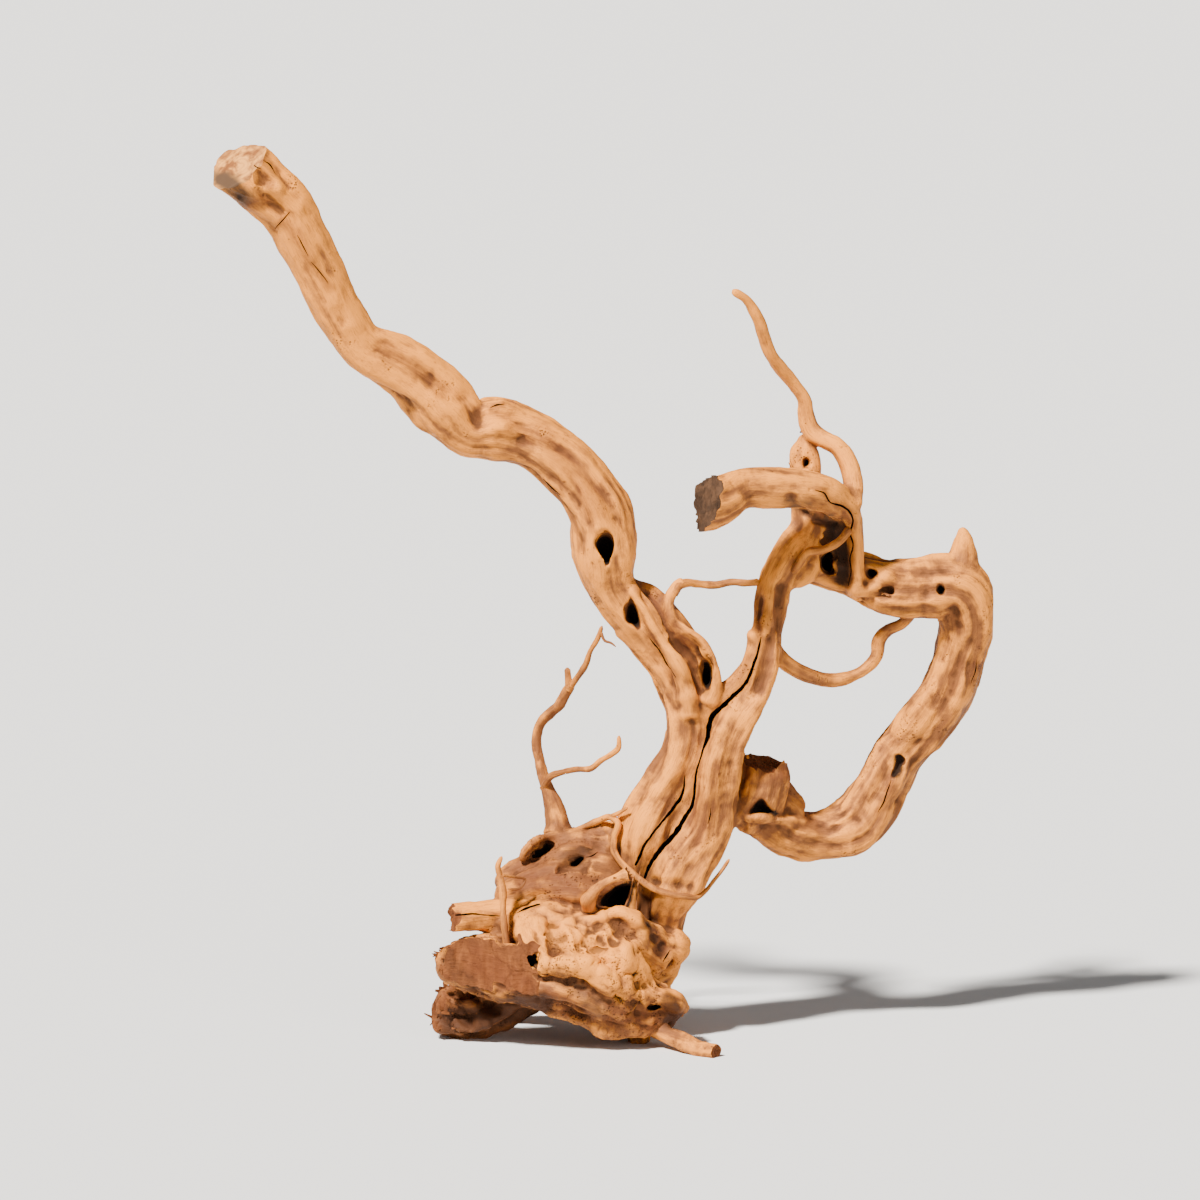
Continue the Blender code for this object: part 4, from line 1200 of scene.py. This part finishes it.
def press_relief(skin):
    """Presses the drawn ridges and grooves into the wood that the picture shows."""
    shares = Sight(skin).shares()
    spots = wandering_spots(skin.points, 31, 9, 1.5)
    amount = np.zeros(len(spots))
    for half, push, line in chain(*RELIEF.values()):
        near = near_line(spots, line, 2 * half) & (shares > 0)
        amount[near] += push * (1 - ramp(stroke(spots[near], line), 0, 2 * half))
    skin.push(np.clip(amount, DEEPEST, HIGHEST) * shares)
    skin.soften(rounds=1, weight=0.4)


# Materials


class Socket:
    """A node's value that can be used in arithmetic."""

    def __init__(self, tree, output):
        self.tree, self.output = tree, output

    def _maths(self, kind, *values):
        return make(self.tree, "ShaderNodeMath", values, operation=kind)

    def __add__(self, other):
        return self._maths("ADD", self, other)

    def __sub__(self, other):
        return self._maths("SUBTRACT", self, other)

    def __mul__(self, other):
        return self._maths("MULTIPLY", self, other)

    def __rsub__(self, other):
        return self._maths("SUBTRACT", other, self)

    __radd__, __rmul__ = __add__, __mul__

    def clip(self):
        """The value kept from 0 to 1."""
        return make(self.tree, "ShaderNodeClamp", (self, 0.0, 1.0))

    def ramp(self, low, high):
        """0 below low, 1 above high, smooth between."""
        values = (self, low, high, 0.0, 1.0)
        return make(self.tree, "ShaderNodeMapRange", values, interpolation_type="SMOOTHSTEP")


def feed(tree, node, values):
    """Links or fills a node's inputs."""
    for key, value in values.items():
        if isinstance(value, Socket):
            tree.links.new(value.output, node.inputs[key])
        else:
            node.inputs[key].default_value = value


def make(tree, kind, values=(), out=0, **settings):
    """Adds a node, sets its options, and links or fills its inputs."""
    node = tree.nodes.new(kind)
    for name, value in settings.items():
        setattr(node, name, value)
    feed(tree, node, values if isinstance(values, dict) else dict(enumerate(values)))
    return Socket(tree, node.outputs[out])


def attribute(tree, name, vector=False):
    """A value, or a vector, that was painted on the mesh."""
    return make(tree, "ShaderNodeAttribute", out="Vector" if vector else "Fac", attribute_name=name)


def scaled(tree, vector, scale):
    """A vector times a scale for each axis."""
    return make(tree, "ShaderNodeVectorMath", {0: vector, 1: scale}, operation="MULTIPLY")


def noise_at(tree, vector, scale, detail=2.0, roughness=0.5, distortion=0.0):
    """Noise from 0 to 1 at a place."""
    return make(tree, "ShaderNodeTexNoise", {"Vector": vector, "Scale": scale, "Detail": detail,
                                             "Roughness": roughness, "Distortion": distortion})


def blend(tree, share, a, b):
    """Colour a going to colour b."""
    return make(tree, "ShaderNodeMix", {0: share, 6: a, 7: b}, out=2, data_type="RGBA")


def layered(tree, colour, layers):
    """A colour with further colours over it, each by its own share."""
    for share, over in layers:
        colour = blend(tree, share, colour, over)
    return colour


def relief(tree, height, strength, depth):
    """A bumpy normal from a height, with the relief's depth in millimetres."""
    return make(tree, "ShaderNodeBump", {"Strength": strength, "Distance": depth * MM, "Height": height})


def rgb(red, green, blue):
    """A screen colour as a shader colour."""
    def linear(v):
        v /= 255
        return v / 12.92 if v < 0.04045 else ((v + 0.055) / 1.055) ** 2.4
    return (linear(red), linear(green), linear(blue), 1.0)


# Shades of the wood, from pale to dark, with the dirt on it, the painted shade of its creases, hollows and
# cracks, and its cut and broken ends.
CREAM = rgb(214, 132, 44)
TAN = rgb(119, 71, 35)
BROWN = rgb(78, 45, 24)
RUST = rgb(94, 49, 25)
UMBER = rgb(58, 33, 18)
BLACK_SOOT_AND_SHADE = rgb(12, 6, 3)
GREY = rgb(74, 54, 38)
PALE_END = rgb(196, 134, 68)
TORN_LIGHT, TORN_BROWN = rgb(112, 64, 32), rgb(88, 48, 24)
GREYED_LIGHT, GREYED_BROWN = rgb(72, 50, 34), rgb(48, 33, 22)

# Dry wood hardly shines.
DRY_SHINE = 0.12

# Shades of the drawn marks: stains, a pale one for painted light, and dark ones that also carry painted
# shade.
PAINTS = {"rust": RUST, "pale": CREAM, "grey": GREY, "umber": UMBER, "soot_and_shade": BLACK_SOOT_AND_SHADE}


def new_material(name):
    """A material of dry wood, with its node tree and its surface shader."""
    material = bpy.data.materials.new(name)
    material.use_nodes = True
    shader = material.node_tree.nodes["Principled BSDF"]
    shader.inputs["Specular IOR Level"].default_value = DRY_SHINE
    return material, material.node_tree, shader


def wood_marks(tree):
    """What the wood's colour and relief are mixed from: painted values and noises."""
    first, second = attribute(tree, "grain_first", True), attribute(tree, "grain_second", True)
    share = attribute(tree, "grain_share")
    place = make(tree, "ShaderNodeTexCoord", out="Object")

    def grain(across, along, detail, roughness):
        scale = (1 / across, 1 / across, 1 / along)
        a = noise_at(tree, scaled(tree, first, scale), 1.0, detail, roughness)
        b = noise_at(tree, scaled(tree, second, scale), 1.0, detail, roughness)
        return a * (1 - share) + b * share

    return SimpleNamespace(
        tone=attribute(tree, "tone"),
        cavity=attribute(tree, "cavity"),
        eroded=attribute(tree, "eroded"),
        broad=grain(across=5.0, along=40.0, detail=3.0, roughness=0.55),
        streaks=grain(across=1.3, along=22.0, detail=6.0, roughness=0.7),
        fibres=grain(across=0.4, along=10.0, detail=3.0, roughness=0.6),
        dashes=grain(across=2.2, along=7.0, detail=3.0, roughness=0.6),
        patches=noise_at(tree, place, 45.0, detail=6.0, roughness=0.65, distortion=0.8),
        blotches=noise_at(tree, place, 130.0, detail=6.0, roughness=0.7, distortion=1.0),
        pinholes=make(tree, "ShaderNodeTexVoronoi", {"Vector": place, "Scale": 700.0}),
        worn=noise_at(tree, place, 420.0, detail=3.0, roughness=0.6),
        crowds=noise_at(tree, place, 70.0),
    )


def bare_wood(tree, m):
    """Pale wood going to tan by its tone, with brown streaks and a rusty cast; ridges painted paler as
    painted highlight and grooves darker as painted shade.
    """
    # Painted highlight and shade: the cavity terms make ridges paler and grooves browner.
    pale = m.tone * 0.6 + (m.broad - 0.5) * 1.7 + (m.patches - 0.5) * 1.7 - m.cavity * 0.4 + 0.36
    brown = m.tone * 0.4 + (m.streaks - 0.5) * 3.0 + (m.blotches - 0.5) * 1.6 - m.cavity * 0.3 + 0.04
    rust = m.patches * 0.4 + m.blotches * 0.6 + m.streaks * 0.4 + m.tone * 0.08
    colour = blend(tree, pale.ramp(0.0, 0.85), CREAM, TAN)
    return layered(tree, colour, ((brown.ramp(0.1, 1.0) * 0.6, BROWN), (rust.ramp(0.78, 0.92) * 0.3, RUST)))


def stained(tree, m, colour, names):
    """Drawn rust and grey stains, and pale marks of painted light, that soak in along the streaks and
    blotches.
    """
    for name in names:
        strength = (attribute(tree, name) * (m.streaks + m.blotches - 0.2)).clip()
        colour = blend(tree, strength, colour, PAINTS[name])
    return colour


def wood_material():
    """Weathered wood: streaked and stained, with painted shade in its grooves and creases, pinholed, mottled
    and fibrous.
    """
    material, tree, shader = new_material("driftwood")
    m = wood_marks(tree)
    # Painted shade: grooves and creases, where the cavity value is low, go towards umber, a little more on
    # eroded wood, which is real wear.
    shade = (m.eroded * 0.2 - m.cavity).ramp(0.4, 1.0)
    fleck = (m.worn - m.pinholes * 0.8).ramp(0.22, 0.42) * (m.crowds + m.eroded * 0.22).ramp(0.62, 0.76)
    mottles = (m.dashes * (m.patches + 0.5)).ramp(0.56, 0.64)
    colour = stained(tree, m, bare_wood(tree, m), ("rust", "pale", "grey"))
    # The first layer is the painted shade of the grooves; the umber and soot paints carry painted shade as
    # well as dirt.
    colour = layered(tree, colour, (
        (shade * 0.6, UMBER), (fleck * 0.75, UMBER), (mottles * 0.2, RUST),
        (m.fibres.ramp(0.52, 0.7) * 0.4, BROWN), (attribute(tree, "umber"), UMBER),
        (attribute(tree, "soot_and_shade"), BLACK_SOOT_AND_SHADE)))
    height = m.streaks * 0.6 + m.fibres * 0.4 + m.broad * 0.4 + m.blotches * 0.4 - fleck * 1.2
    feed(tree, shader, {
        "Base Color": colour,
        "Roughness": (0.62 + (m.streaks - 0.5) * 0.4 + shade * 0.2).clip(),
        "Normal": relief(tree, height, strength=0.7, depth=1.0)})
    return material


def cracked_material():
    """The inside of a drying crack, painted near black as painted shade."""
    material, tree, shader = new_material("crack_walls")
    place = make(tree, "ShaderNodeTexCoord", out="Object")
    # Painted shade: the walls go from near black to umber.
    colour = blend(tree, noise_at(tree, place, 300.0).ramp(0.4, 0.7), BLACK_SOOT_AND_SHADE, UMBER)
    feed(tree, shader, {"Base Color": colour, "Roughness": 0.85})
    return material


def sawn_material():
    """The smooth sawn end: pale wood with faint rings round the pith and a grey stain."""
    material, tree, shader = new_material("sawn_end")
    place = make(tree, "ShaderNodeTexCoord", out="Object")
    across = scaled(tree, attribute(tree, "grain_first", True), (1, 1, 0))
    middle = make(tree, "ShaderNodeVectorMath", {0: across}, out="Value", operation="LENGTH")
    broad = noise_at(tree, place, 90.0, detail=3.0, roughness=0.6, distortion=0.5)
    rings = make(tree, "ShaderNodeMath", (middle * 2.4 + broad * 16,), operation="SINE")
    colour = blend(tree, broad.ramp(0.42, 0.62), PALE_END, TAN)
    colour = layered(tree, colour, ((rings.ramp(0.0, 1.0) * 0.2, BROWN), (attribute(tree, "grey"), GREY)))
    feed(tree, shader, {"Base Color": colour, "Roughness": 0.75})
    return material


def torn_material(name, upright, light, middle, dark):
    """A broken face: strands of fibre, along the grain or upright, with dirt between them."""
    material, tree, shader = new_material(name)
    place = make(tree, "ShaderNodeTexCoord", out="Object")
    broad = noise_at(tree, place, 110.0, detail=4.0, roughness=0.65, distortion=0.8)
    if upright:
        fibres = scaled(tree, place, (420, 420, 50))
    else:
        fibres = scaled(tree, attribute(tree, "grain_first", True), (0.9, 0.9, 0.07))
    strands = noise_at(tree, fibres, 1.0, detail=4.0, roughness=0.65, distortion=0.3)
    colour = blend(tree, broad.ramp(0.35, 0.65), light, middle)
    colour = blend(tree, strands.ramp(0.5, 0.75) * 0.65, colour, dark)
    stains = ("rust", "grey", "umber")
    colour = layered(tree, colour, [(attribute(tree, stain) * 0.7, PAINTS[stain]) for stain in stains])
    bumps = relief(tree, strands + broad, strength=0.8, depth=0.8)
    feed(tree, shader, {"Base Color": colour, "Roughness": 0.85, "Normal": bumps})
    return material


def face_materials():
    """One material for each kind of face, in the order of the kinds."""
    return [wood_material(), cracked_material(), sawn_material(),
            torn_material("torn_end", False, TORN_LIGHT, TORN_BROWN, UMBER),
            torn_material("greyed_end", True, GREYED_LIGHT, GREYED_BROWN, BLACK_SOOT_AND_SHADE)]


# Paint

# A stain starts to fade and ends at these shares of its half width, and is full where the camera sees this
# share of the wood.
STAIN_FROM, STAIN_TO = 0.5, 1.3
WELL_SEEN = 0.4

# Rust beside a crack: its strength, and how far from the line it starts to fade and ends, in picture points.
CRACK_RUST, CRACK_RUST_FROM, CRACK_RUST_TO = 0.7, 1.0, 6.0

# Painted shade in the hollows and in the deep creases: the strongest, and over what depth it grows. In a
# hollow it reaches this far past the back.
HOLLOW_SHADE, HOLLOW_SHADE_DEPTH = 0.95, (0.5, 5.0)
PAST_BACK = 3
CREASE_SHADE, CREASE_SHADE_DEPTH = 0.9, (4.0, 8.0)

# Painted light: how high up the wood is painted paler, from and to, and by how much of its tone, as if it
# were lit more near the top.
PAINTED_TOP_LIGHT = (290.0, 400.0, 0.5)

# Over how many rounds of softening fine and broad relief stand out, and how much each counts as a cavity.
FINE_ROUNDS, BROAD_ROUNDS = 5, 40
FINE_CAVITY, BROAD_CAVITY = 1.6, 0.35

# Edges sharper than this stay sharp.
SHARP = radians(48)


def set_attribute(mesh, name, values):
    """Writes one number or vector for each point, for the material to read."""
    kind = "FLOAT" if values.ndim == 1 else "FLOAT_VECTOR"
    layer = mesh.attributes.new(name, kind, "POINT")
    field = "value" if values.ndim == 1 else "vector"
    layer.data.foreach_set(field, np.ascontiguousarray(values, np.float32).ravel())


def unpainted(skin):
    """No stain at any point, for each paint."""
    return {name: np.zeros(len(skin.points)) for name in PAINTS}


def painted(skin):
    """The drawn marks, stains and painted light and shade, one value for each point and paint."""
    shares = Sight(skin).shares()
    spots = wandering_spots(skin.points, 41, 6, 3.0)
    paints = unpainted(skin)

    def brush(name, line, strength, fade_from, fade_to):
        near = near_line(spots, line, fade_to) & (shares > 0)
        amount = strength * (1 - ramp(stroke(spots[near], line), fade_from, fade_to))
        paints[name][near] = np.maximum(paints[name][near], amount)

    for name, marks in STAINS.items():
        for half, strength, line in marks:
            brush(name, line, strength, half * STAIN_FROM, half * STAIN_TO)
    for _, line in CRACKS.values():
        brush("rust", np.array(line)[:, :2], CRACK_RUST, CRACK_RUST_FROM, CRACK_RUST_TO)
    paints = {name: values * ramp(shares, 0, WELL_SEEN) for name, values in paints.items()}
    # Painted shade inside the drawn hollows, darker with depth.
    paints["soot_and_shade"] = np.maximum(paints["soot_and_shade"], hollow_shade(skin))
    return paints


def hollow_shade(skin):
    """Painted shade inside the drawn hollows, darker with depth."""
    sight, spots = Sight(skin), picture(skin.points)
    reach = np.linalg.norm(skin.points - EYE, axis=1)
    soot_and_shade = np.zeros(len(spots))
    for depth, _, rim in HOLLOWS.values():
        flat = closed_curve(rim)
        lip = np.median(sight.surface(flat))
        inside = np.nonzero(in_outline(spots, flat) & (reach < lip + depth + PAST_BACK))[0]
        dark = HOLLOW_SHADE * ramp(reach[inside] - lip, *HOLLOW_SHADE_DEPTH)
        soot_and_shade[inside] = np.maximum(soot_and_shade[inside], dark)
    return soot_and_shade


def in_outline(spots, rim):
    """Whether each spot lies inside a closed outline."""
    inside = np.zeros(len(spots), bool)
    for p, q in zip(rim, np.roll(rim, -1, 0)):
        crosses = (p[1] > spots[:, 1]) != (q[1] > spots[:, 1])
        share = np.divide(spots[:, 1] - p[1], q[1] - p[1], out=np.zeros(len(spots)), where=crosses)
        inside ^= crosses & (spots[:, 0] < p[0] + share * (q[0] - p[0]))
    return inside


def dress(item, limbs, materials, paint=unpainted):
    skin = Skin(item)
    first, second, share, rough, tone = nearest_two(skin.points, limbs)
    # Painted light: the tone goes paler towards the top of the wood.
    low, high, loss = PAINTED_TOP_LIGHT
    tone = tone - loss * ramp(skin.points[:, 2], low, high)
    fine, broad = skin.relief(FINE_ROUNDS), skin.relief(BROAD_ROUNDS)
    # The cavity value, above 0 on ridges and below in grooves, drives the wood material's painted highlight
    # on ridges and painted shade in grooves.
    cavity = np.clip(fine * FINE_CAVITY + broad * BROAD_CAVITY, -1, 1)
    paints = paint(skin)
    # Painted shade: the deep creases of the broad relief go dark, near black.
    creases = CREASE_SHADE * ramp(-broad, *CREASE_SHADE_DEPTH)
    paints["soot_and_shade"] = np.maximum(paints["soot_and_shade"], creases)
    for name, values in (("grain_first", first), ("grain_second", second), ("grain_share", share),
                         ("tone", tone), ("eroded", rough), ("cavity", cavity), *paints.items()):
        set_attribute(item.data, name, values)
    give_materials(item.data, materials)
    finish_piece(item)


def give_materials(mesh, materials):
    """Sets a mesh's materials without changing its faces' kinds, and its shading."""
    kinds = np.empty(len(mesh.polygons), int)
    mesh.polygons.foreach_get("material_index", kinds)
    mesh.materials.clear()
    for material in materials:
        mesh.materials.append(material)
    mesh.polygons.foreach_set("material_index", kinds)
    mesh.shade_smooth()
    mesh.set_sharp_from_angle(angle=SHARP)


def finish_piece(item):
    """Sets what the piece rides on, and hides the part that it replaces."""
    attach(item, "root")
    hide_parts("driftwood_root")


# Rootlets

# A thin root's last ring narrows to this share, so its end is worn and not cut.
WORN_TIP = 0.4


def node_group(name, inputs):
    """An empty geometry tree with named inputs, and a lookup of their sockets."""
    tree = bpy.data.node_groups.new(name, "GeometryNodeTree")
    tree.interface.new_socket("Geometry", in_out="OUTPUT", socket_type="NodeSocketGeometry")
    tree.interface.new_socket("Geometry", in_out="INPUT", socket_type="NodeSocketGeometry")
    for label, kind in inputs.items():
        tree.interface.new_socket(label, in_out="INPUT", socket_type=kind)
    start = tree.nodes.new("NodeGroupInput")
    return tree, lambda label: Socket(tree, start.outputs[label])


def close_group(tree, shape, material):
    """Ends a geometry tree with real meshes in one material."""
    real = make(tree, "GeometryNodeRealizeInstances", (shape,))
    dressed = make(tree, "GeometryNodeSetMaterial", {"Geometry": real, "Material": material})
    end = tree.nodes.new("NodeGroupOutput")
    tree.links.new(dressed.output, end.inputs[0])


def grown(item, tree, values):
    """Runs a geometry tree on an item and returns its result as a plain mesh object."""
    step = item.modifiers.new(tree.name, "NODES")
    step.node_group = tree
    for socket in tree.interface.items_tree:
        if socket.in_out == "INPUT" and socket.name in values:
            step[socket.identifier] = values[socket.name]
    graph = bpy.context.evaluated_depsgraph_get()
    mesh = bpy.data.meshes.new_from_object(item.evaluated_get(graph))
    bpy.data.objects.remove(item)
    result = bpy.data.objects.new(tree.name, mesh)
    bpy.context.scene.collection.objects.link(result)
    return closed_outward(result)


def rootlet_tree(material):
    """Round roots along their curves, with knots that swell at random."""
    tree, given = node_group("rootlets", {"Sides": "NodeSocketInt", "Knots": "NodeSocketFloat"})
    place = make(tree, "GeometryNodeInputPosition")
    radius = make(tree, "GeometryNodeInputRadius")
    swell = noise_at(tree, place, 210.0)
    profile = make(tree, "GeometryNodeCurvePrimitiveCircle", {"Resolution": given("Sides"), "Radius": MM})
    tube = make(tree, "GeometryNodeCurveToMesh", {
        "Curve": given("Geometry"), "Profile Curve": profile,
        "Scale": radius * ((swell - 0.5) * given("Knots") + 1), "Fill Caps": True})
    close_group(tree, tube, material)
    return tree


def rootlet_piece(limbs, material):
    """All the thin roots, each a closed tube whose ends are sunk in the wood."""
    curve = bpy.data.curves.new("rootlets", "CURVE")
    curve.dimensions = "3D"
    for limb in limbs:
        spline = curve.splines.new("POLY")
        spline.points.add(len(limb.places) - 1)
        for point, place, radius in zip(spline.points, limb.places * MM, limb.radii):
            point.co = (*place, 1)
            point.radius = radius
        spline.points[-1].radius *= WORN_TIP
    item = bpy.data.objects.new("rootlet_lines", curve)
    bpy.context.scene.collection.objects.link(item)
    item = grown(item, rootlet_tree(material), {"Sides": 10, "Knots": 0.5})
    dress(item, limbs, [material])
    return item


# Splinters

# How deep a splinter's root is sunk, how far it may lean from the way it points, and from how far outside
# and over what length its place on the wood is looked for.
SUNK = 1.2
LEAN = 0.35
SEARCH_FROM, SEARCH_LENGTH = 16, 30.0


def splinter_tree(material):
    """A thin cone at each point, aimed and sized by the point's own values."""
    tree, given = node_group("splinters", {"Sides": "NodeSocketInt", "Tip": "NodeSocketFloat"})
    cone = make(tree, "GeometryNodeMeshCone", {
        "Vertices": given("Sides"), "Radius Top": given("Tip"), "Radius Bottom": MM, "Depth": MM})
    way = make(tree, "GeometryNodeInputNamedAttribute", ("way",), data_type="FLOAT_VECTOR")
    size = make(tree, "GeometryNodeInputNamedAttribute", ("size",), data_type="FLOAT_VECTOR")
    turn = make(tree, "FunctionNodeAlignRotationToVector", {"Vector": way}, axis="Z")
    stood = make(tree, "GeometryNodeInstanceOnPoints", {
        "Points": given("Geometry"), "Instance": cone, "Rotation": turn, "Scale": size})
    close_group(tree, stood, material)
    return tree


def splinters(wood):
    """Roots, ways and sizes of the splinters at the frayed ends."""
    tree, rng = Sight(Skin(wood)).tree, np.random.default_rng(12)
    rows = []
    for place, way, spread, count, longest, widest in FRAYS:
        middle, way = stand([place])[0], np.array(way) / np.linalg.norm(way)
        for _ in range(count):
            off = rng.normal(size=3) * spread * 0.5
            lean = way + rng.normal(size=3) * LEAN
            lean /= np.linalg.norm(lean)
            length = longest * rng.uniform(0.25, 1.0)
            thick = widest * rng.uniform(0.4, 1.0)
            off -= way * (off @ way)
            start = Vector(middle + off + way * SEARCH_FROM)
            hit = tree.ray_cast(start, Vector(-way), SEARCH_LENGTH)[0]
            if hit is not None:
                size = (thick, min(thick, 0.6) * rng.uniform(0.3, 0.7), length + SUNK)
                rows.append((np.array(hit) - lean * SUNK, lean, size))
    return [np.array(column) for column in zip(*rows)]


def splinter_piece(wood, limbs, material):
    """Short splinters rooted in the broken ends of the wood."""
    roots, ways, sizes = splinters(wood)
    item = mesh_object("splinter_roots", roots, [])
    set_attribute(item.data, "way", ways)
    set_attribute(item.data, "size", sizes)
    item = grown(item, splinter_tree(material), {"Sides": 5, "Tip": 0.35 * MM})
    keep_inside(item)
    dress(item, limbs, [material])
    return item


# Scene

FLOOR_HALF = 9000.0
FLOOR_GREY = (0.6, 0.6, 0.6, 1)


def plain(name, colour, roughness):
    """A matt material of one colour."""
    material, tree, shader = new_material(name)
    feed(tree, shader, {"Base Color": colour, "Roughness": roughness})
    return material


def sun(name, way, strength, softness, colour):
    """A distant light that shines along a direction, with its softness in degrees."""
    data = bpy.data.lights.new(name, "SUN")
    data.energy = strength
    data.angle = radians(softness)
    data.color = colour
    light = bpy.data.objects.new(name, data)
    light.rotation_euler = Vector(way).to_track_quat("-Z", "Y").to_euler()
    bpy.context.scene.collection.objects.link(light)


def set_camera():
    """The picture's camera, which looks along SIGHT."""
    camera = bpy.data.objects.new("camera", bpy.data.cameras.new("camera"))
    camera.data.sensor_width = SENSOR
    camera.data.lens = SENSOR * CAMERA_DISTANCE / FRAME_WIDTH
    camera.data.clip_end = 100
    camera.location = EYE * MM
    camera.rotation_euler = Vector(SIGHT).to_track_quat("-Z", "Y").to_euler()
    bpy.context.scene.collection.objects.link(camera)
    bpy.context.scene.camera = camera


def set_floor():
    """A plain pale floor, which isn't part of the wood."""
    corners = [(x * FLOOR_HALF, y * FLOOR_HALF, 0) for x, y in ((-1, -1), (1, -1), (1, 1), (-1, 1))]
    floor = mesh_object("floor", corners, [(0, 1, 2, 3)])
    floor.data.materials.append(plain("floor", FLOOR_GREY, 0.9))


def set_lights():
    """A soft key from the upper left, a faint fill from the right, and a dim pale sky."""
    sun("key", way=(0.5, 0.7, -1.0), strength=15.0, softness=6, colour=(1.0, 0.96, 0.9))
    sun("fill", way=(-0.6, 0.8, -0.3), strength=1.2, softness=30, colour=(1.0, 0.98, 0.95))
    world = bpy.data.worlds.new("studio")
    bpy.context.scene.world = world
    world.use_nodes = True
    sky = world.node_tree.nodes["Background"]
    feed(world.node_tree, sky, {"Color": (0.98, 0.99, 1.0, 1), "Strength": 0.18})


def build():
    """The whole wood, dressed, with its camera, floor and lights."""
    limbs = [Limb(line, *traits) for *traits, line in LIMBS.values()]
    thin = [Limb(line, flutes=0, rough=0.2, tone=0.9, step=1.2) for line in ROOTLETS.values()]
    skin = grow_skin(limbs)
    materials = face_materials()
    dress(skin, limbs, materials, painted)
    rootlet_piece(thin, materials[WOOD])
    splinter_piece(skin, limbs, materials[TORN])
    set_camera()
    set_floor()
    set_lights()


build()
